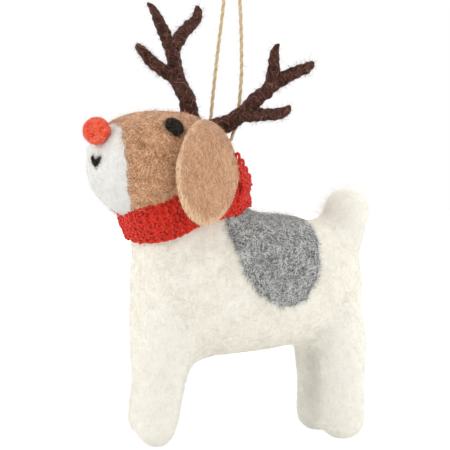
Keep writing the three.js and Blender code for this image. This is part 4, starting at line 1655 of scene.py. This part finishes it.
@dataclass
class Scarf:
    """The red knitted scarf. Sizes are in millimetres."""

    torso: Torso
    head: Head
    width: float = 9.8
    thickness: float = 2.2
    tilt: float = 17.0
    height: float = 64.2
    wave: float = -0.15
    waves: int = 7
    wales: int = 6
    course: float = 2.15
    yarn: float = 0.82
    # How far stitches stray across the band, along it and outwards
    uneven: tuple[float, float, float] = (0.15, 0.19, 0.09)
    loop_swing: float = 0.24
    loop_height: float = 0.92
    loop_depth: float = 0.5
    bed: float = 1.3
    run_out: float = 1.35
    crown: float = 0.45
    flare: float = 2.0
    throat_close: float = 1.1
    chin_close: float = 0.8
    tab: float = 0.2
    tab_turn: float = 3.05
    tab_spread: float = 0.16
    cheek_reach: float = 4.5
    cheek_gap: float = 0.3
    cheek_bend: float = 1.2
    # Turn from the nape in degrees, with the share of the lean, or the rise of the band, there
    cheek_fade: tuple[tuple[float, float], ...] = ((140, 1), (162, 0.75), (176, 0.25), (180, 0.1))
    fall: tuple[tuple[float, float], ...] = (
        (0, -0.2), (50, -0.2), (90, 0.3), (110, -0.2), (120, -0.8), (130, -0.95), (140, -0.9), (150, -0.5),
        (165, 0.0), (180, 0.6),
    )
    lean: np.ndarray = field(default_factory=lambda: np.zeros(121))
    end_wales: int = 4
    end_height: float = 14.0
    end_from: float = 26.0
    end_to: float = 45.0
    end_lift: float = 0.4
    # Height on the loose end, with how far it is shifted round the neck there
    end_skew: tuple[tuple[float, float], ...] = ((0, 2.6), (4, 1.5), (7.3, -0.7), (10, 0))
    end_slant: tuple[float, float] = (0.8, 0.56)
    end_lean: float = 0.13
    end_sunk: float = 1.0
    end_proud: float = 0.9
    end_tuck: float = 1.6
    end_tuck_height: float = 6.0
    end_foot: float = 1.9
    end_foot_height: float = 8.0
    seat_gap: float = 0.3

    def set_out(self, points: np.ndarray) -> np.ndarray:
        """Moves points from the neckline's tilted frame to metres below the hook."""
        return hung(turned_x(points, self.tilt) + [0, self.torso.neck_centre, self.height])

    def ringed(self, angle: np.ndarray, reach: np.ndarray, up: np.ndarray) -> np.ndarray:
        """Points round the neck, from their turn, their distance from its middle and their height."""
        return np.stack([reach * np.sin(angle), reach * np.cos(angle), up], -1)

    def oval(self, angle: np.ndarray, out: np.ndarray | float) -> np.ndarray:
        """Distance of the band from the neck's middle.

        Args:
            angle: turn from the nape towards the dog's left, in radians.
            out: how far outside the band's inner side.

        Returns:
            The distance at each angle.
        """
        half = [
            self.torso.neck[0] / 2 + self.seat_gap,
            self.torso.neck[1] / 2 / math.cos(math.radians(self.tilt)) + self.seat_gap,
        ]
        power = self.torso.neck_bluntness
        inner = (
            np.abs(np.sin(angle) / half[0]) ** power + np.abs(np.cos(angle) / half[1]) ** power
        ) ** (-1 / power)
        return inner + out

    def sway(self, angle: np.ndarray) -> np.ndarray:
        """How far the band rises and falls along its way round the neck."""
        turn = np.degrees(np.abs((np.asarray(angle) + math.pi) % (2 * math.pi) - math.pi))
        return np.interp(turn, *zip(*self.fall)) + self.wave * np.sin(self.waves * np.asarray(angle))

    def loft(self, angle: np.ndarray, up: np.ndarray | float) -> np.ndarray:
        """How far the band stands off the throat, most at its lower edge.

        Args:
            angle: turn from the nape, in radians.
            up: height on the band.

        Returns:
            The added distance from the neck.
        """
        throat = np.maximum(0, -np.cos(angle)) ** 2
        corner = np.exp(-((angle - self.tab_turn) / self.tab_spread) ** 2) * np.clip(up / (self.width / 2), 0, 1) ** 3
        tip = np.clip(np.asarray(up) / self.width + 0.5, 0, 1) ** self.cheek_bend
        cheek = np.interp(angle % (2 * math.pi), np.linspace(0, 2 * math.pi, len(self.lean)), self.lean) * tip
        chin = self.chin_close * np.clip(np.asarray(up) / (self.width / 2), 0, 1)
        stand = throat * (self.flare * (0.5 - np.asarray(up) / self.width) - self.throat_close - chin)
        return stand + self.tab * corner + cheek

    def cheek_lean(self) -> np.ndarray:
        """Finds how far the upper edge has to lean out to lie over the head's cheeks.

        Returns:
            The lean at every third degree round the neck.
        """
        tree = self.head.skin.tree()
        angle = np.linspace(0, 2 * math.pi, len(self.lean))
        need = np.zeros(len(angle))
        for share in np.linspace(0.55, 1, 7):
            reach = self.oval(angle, self.thickness * 0.6)
            up = (share - 0.5) * self.width + self.sway(angle)
            spots = self.set_out(self.ringed(angle, reach, up))
            for k, (spot, turn) in enumerate(zip(map(Vector, spots), angle)):
                near, out, _, _ = tree.find_nearest(spot)
                way = Vector((math.sin(turn), math.cos(turn), 0))
                if (spot - near).dot(out) < 0:
                    hit = tree.ray_cast(spot, way)[0] or spot
                    need[k] = max(need[k], ((hit - spot).length / MM + self.cheek_gap) / share ** self.cheek_bend)
        turn = np.degrees(np.abs((angle + math.pi) % (2 * math.pi) - math.pi))
        need = np.minimum(need, self.cheek_reach) * np.interp(turn, *zip(*self.cheek_fade))
        window = np.array([1, 2, 3, 4, 3, 2, 1]) / 16
        return np.convolve(np.concatenate([need[-4:-1], need, need[1:4]]), window, "valid")

    def backing(self) -> Form:
        """Makes the close fabric behind the stitches.

        Returns:
            The fabric as a closed ring.
        """
        angle = np.linspace(0, 2 * math.pi, 180, endpoint=False)
        low, high = -self.width / 2 - 0.1, self.width / 2 + 0.1
        section = [
            (0.1, low + 0.3), (0.5, low), (1.25, low + 0.3), (1.7, 0.0), (1.25, high - 0.3), (0.5, high),
            (0.1, high - 0.3),
        ]
        rows = []
        for out, up in section:
            reach = self.oval(angle, out + self.loft(angle, up) * (out > 0.3))
            rows.append(self.ringed(angle, reach, up + self.sway(angle)))
        points = np.vstack(rows)
        count = len(angle)
        faces = []
        for row in range(len(section)):
            after = (row + 1) % len(section)
            for k in range(count):
                nxt = (k + 1) % count
                faces.append([row * count + k, row * count + nxt, after * count + nxt, after * count + k])
        outermost = 3 * count
        return Form(self.set_out(points), facing(points, faces, outermost, points[outermost]))

    def stitches(
        self, courses: int, wales: int, width: float, place: Callable[[np.ndarray, np.ndarray, np.ndarray], np.ndarray],
        seed: int, rise: float = 1.0,
    ) -> Form:
        """Knits courses of looped yarn and lays them on a surface.

        Args:
            courses: how many rows of loops there are.
            wales: how many loops each row has.
            width: the length of a row.
            place: puts points given as run, across and out where they belong.
            seed: moves the unevenness of the stitches.
            rise: height of a loop, as a share of the usual.

        Returns:
            The yarn of all the courses.
        """
        rng = np.random.default_rng(seed)
        t = np.linspace(0, 2 * math.pi * wales, wales * 18 + 1)
        marks = np.linspace(0, t[-1], wales + 1)
        wale = width / wales
        strands = []
        for row in range(courses):
            wide = wale * t / (2 * math.pi) - width / 2 + self.loop_swing * wale * np.sin(2 * t)
            loop = self.course * (self.loop_height * rise * -np.cos(t) + 0.5) + row * self.course
            out = self.loop_depth * self.yarn * np.cos(2 * t)
            shift = [np.interp(t, marks, rng.normal(0, spread, len(marks))) for spread in self.uneven]
            line = place(loop + shift[1], wide + shift[0], out + shift[2])
            thick = self.yarn / 2 * MM * rng.uniform(0.88, 1.14, len(t))
            strands.append(tube(line, thick, 8))
        return Form(*joined(strands))

    def build(self) -> None:
        """Knits the band and the loose end, each over its backing."""
        self.lean = self.cheek_lean()
        fine = np.linspace(0, 2 * math.pi, 721)
        run = run_along(self.ringed(fine, self.oval(fine, self.run_out), 0 * fine))
        courses = round(run[-1] / self.course)

        def round_neck(along: np.ndarray, across: np.ndarray, out: np.ndarray) -> np.ndarray:
            """Lays yarn on the band round the neck.

            Args:
                along: the way round from the nape.
                across: the height on the band.
                out: how far off the band's middle.

            Returns:
                The points in metres below the hook.
            """
            angle = np.interp(along * run[-1] / (courses * self.course) % run[-1], run, fine)
            crown = self.crown * (1 - (across / (self.width / 2)) ** 2)
            far = self.oval(angle, self.bed + crown + out + self.loft(angle, across))
            return self.set_out(self.ringed(angle, far, across + self.sway(angle)))

        backing = self.backing().piece("scarf_backing", RED_BACKING, Body.DOG, ["scarf_band"])
        knit = self.stitches(courses, self.wales, self.width + 0.4, round_neck, 120)
        band = knit.piece("scarf_stitches", RED_YARN, Body.DOG)
        end_backing, end = self.loose_end()
        Fibres(1100, (0.8, 2.2), 0.03, 0.9, Lay.STANDING, 124).grow("scarf_fuzz", knit, YARN_LOOSE)

    def loose_end(self) -> tuple[bpy.types.Object, bpy.types.Object]:
        """Knits the loose end that stands up at the nape.

        Returns:
            The backing and the stitches.
        """
        first, last = math.radians(self.end_from), math.radians(self.end_to)
        low = self.end_lift - self.end_height / 2
        middle = (first + last) / 2
        far = float(self.oval(np.array([middle]), self.thickness + 0.5)[0])
        width = (last - first) * far

        def upright(along: np.ndarray, across: np.ndarray, out: np.ndarray) -> np.ndarray:
            """Lays yarn on the upright end.

            Args:
                along: the height above its foot.
                across: the place across its width.
                out: how far off its middle.

            Returns:
                The points in metres below the hook.
            """
            along = along * (self.end_slant[0] + self.end_slant[1] * across / width)
            angle = middle + (across + np.interp(along, *zip(*self.end_skew))) / far
            reach = self.oval(angle, self.thickness + self.end_proud + out) + self.end_lean * along
            reach = reach - self.end_sunk - self.end_tuck * np.clip(1 - along / self.end_tuck_height, 0, 1)
            rise = low + along + self.end_foot * np.clip(1 - along / self.end_foot_height, 0, 1)
            return self.set_out(self.ringed(angle, reach, rise))

        courses = round(self.end_height / self.course)
        knit = self.stitches(courses, self.end_wales, width, upright, 126, 1.1)
        end = knit.piece("scarf_end_stitches", RED_YARN, Body.DOG)
        steps, tall = 14, 20
        across = np.linspace(-width / 2 + 0.3, width / 2 - 0.3, steps)
        rows = [
            upright(np.full(steps, share * (self.end_height - 2.2) + 0.3), across, np.full(steps, -0.35))
            for share in np.linspace(0, 1, tall)
        ]
        front = np.vstack(rows)
        outward = (front - self.set_out(np.zeros((1, 3)))) * [1, 1, 0]
        outward /= np.linalg.norm(outward, axis=1)[:, None]
        points = np.vstack([front, front - outward * 0.5 * MM])
        over, under, sides = sheet_faces(steps, tall)
        probe = len(front) // 2
        form = Form(points, facing(points, over + under + sides, probe, outward[probe]))
        return form.piece("scarf_end_backing", RED_BACKING, Body.DOG, ["scarf_end"]), end


@dataclass(frozen=True)
class Lamp:
    """A square soft lamp, placed by its turn from the camera and its height, both as angles."""

    name: str
    turn: float
    elevation: float
    watts: float
    size: float


@dataclass
class Studio:
    """The camera, soft light and pale floor. Lengths are in metres."""

    azimuth: float = 73.0
    elevation: float = 4.5
    distance: float = 0.8
    lens: float = 237.0
    target: tuple[float, float, float] = (0.0, -0.00254, -0.07385)
    floor_height: float = -0.1348
    floor_size: float = 1.6
    sky: float = 0.73
    floor_tint: float = 0.9
    floor_lift: float = 0.1
    floor_glow: float = 0.66
    lamps: tuple[Lamp, ...] = (
        Lamp("key_lamp", -61, 32, 3.45, 0.9), Lamp("fill_lamp", 74, 12, 3.4, 0.9), Lamp("top_lamp", 180, 68, 3.8, 0.9),
        Lamp("left_rim_lamp", -116, 4, 2.8, 1.2), Lamp("right_rim_lamp", 112, 4, 4.2, 1.2),
    )

    def aimed(
        self, name: str, data: bpy.types.ID, azimuth: float, elevation: float, distance: float = 1.0,
    ) -> bpy.types.Object:
        """Places a camera or a lamp so that it points at the ornament.

        Args:
            name: the object's name.
            data: the camera or lamp.
            azimuth: its side, from the front.
            elevation: its height as an angle.
            distance: how far it stands from the ornament.

        Returns:
            The new object.
        """
        a, e = math.radians(azimuth), math.radians(elevation)
        back = Vector((math.sin(a) * math.cos(e), -math.cos(a) * math.cos(e), math.sin(e)))
        obj = linked(name, data)
        obj.location = Vector(self.target) + back * distance
        obj.rotation_euler = (-back).to_track_quat("-Z", "Y").to_euler()
        return obj

    def camera(self) -> None:
        """Sets the camera at the photograph's angle."""
        data = bpy.data.cameras.new("camera")
        data.lens = self.lens
        data.clip_start = 0.01
        bpy.context.scene.camera = self.aimed("camera", data, self.azimuth, self.elevation, self.distance)

    def light(self) -> None:
        """Sets the lamps and an even white surround."""
        for lamp in self.lamps:
            data = bpy.data.lights.new(lamp.name, "AREA")
            data.energy = lamp.watts
            data.size = lamp.size
            self.aimed(lamp.name, data, self.azimuth + lamp.turn, lamp.elevation)
        world = bpy.data.worlds.new("studio")
        bpy.context.scene.world = world
        world.use_nodes = True
        nodes, links = world.node_tree.nodes, world.node_tree.links
        white = (1.0, 1.0, 1.0, 1.0)
        surround = set_sockets(nodes["Background"], {"Color": white, "Strength": self.sky})
        seen = set_sockets(nodes.new("ShaderNodeBackground"), {"Color": white, "Strength": 1.0})
        mix = nodes.new("ShaderNodeMixShader")
        links.new(self.seen_rays(nodes, links), mix.inputs["Fac"])
        links.new(surround.outputs["Background"], mix.inputs[1])
        links.new(seen.outputs["Background"], mix.inputs[2])
        links.new(mix.outputs["Shader"], nodes["World Output"].inputs["Surface"])

    def seen_rays(self, nodes: bpy.types.Nodes, links: bpy.types.NodeLinks) -> bpy.types.NodeSocket:
        """Marks rays that see the background straight, in metal or through glass.

        Args:
            nodes: the tree's nodes.
            links: the tree's links.

        Returns:
            A socket that is 1 for such rays.
        """
        path = nodes.new("ShaderNodeLightPath")
        first, second = nodes.new("ShaderNodeMath"), nodes.new("ShaderNodeMath")
        first.operation = second.operation = "MAXIMUM"
        links.new(path.outputs["Is Camera Ray"], first.inputs[0])
        links.new(path.outputs["Is Glossy Ray"], first.inputs[1])
        links.new(first.outputs[0], second.inputs[0])
        links.new(path.outputs["Is Transmission Ray"], second.inputs[1])
        return second.outputs[0]

    def floor(self) -> None:
        """Lays a pale floor that keeps a soft shadow and meets the white surround."""
        mesh = bpy.data.meshes.new("floor")
        half = self.floor_size / 2
        corners = ((-half, -half), (half, -half), (half, half), (-half, half))
        mesh.from_pydata([(x, y, self.floor_height) for x, y in corners], [], [(0, 1, 2, 3)])
        floor = linked("floor", mesh)
        material = plain_material("pale_floor", {
            "Base Color": (self.floor_tint, self.floor_tint, self.floor_tint, 1.0), "Roughness": 1.0,
            "Specular IOR Level": 0.0, "Emission Color": (1.0, 1.0, 1.0, 1.0), "Emission Strength": self.floor_lift,
        })
        nodes, links = material.node_tree.nodes, material.node_tree.links
        shader = nodes["Principled BSDF"]
        glow = set_sockets(nodes.new("ShaderNodeEmission"), {"Strength": self.floor_glow})
        both = nodes.new("ShaderNodeAddShader")
        mix = nodes.new("ShaderNodeMixShader")
        links.new(shader.outputs["BSDF"], both.inputs[0])
        links.new(glow.outputs["Emission"], both.inputs[1])
        links.new(self.seen_rays(nodes, links), mix.inputs["Fac"])
        links.new(shader.outputs["BSDF"], mix.inputs[1])
        links.new(both.outputs["Shader"], mix.inputs[2])
        links.new(mix.outputs["Shader"], nodes["Material Output"].inputs["Surface"])
        mesh.materials.append(material)


def main() -> None:
    """Builds the studio and the ornament."""
    logging.basicConfig(level=logging.INFO, format="%(message)s")
    bpy.context.scene.view_settings.view_transform = "Standard"
    studio = Studio()
    studio.camera()
    TwineLoop().build()
    torso = Torso()
    torso.build()
    SaddlePatch(torso).build()
    head = Head()
    head.build()
    Ears(head).build()
    Antlers(head).build()
    Scarf(torso, head).build()
    studio.light()
    studio.floor()


if __name__ == "__main__":
    main()
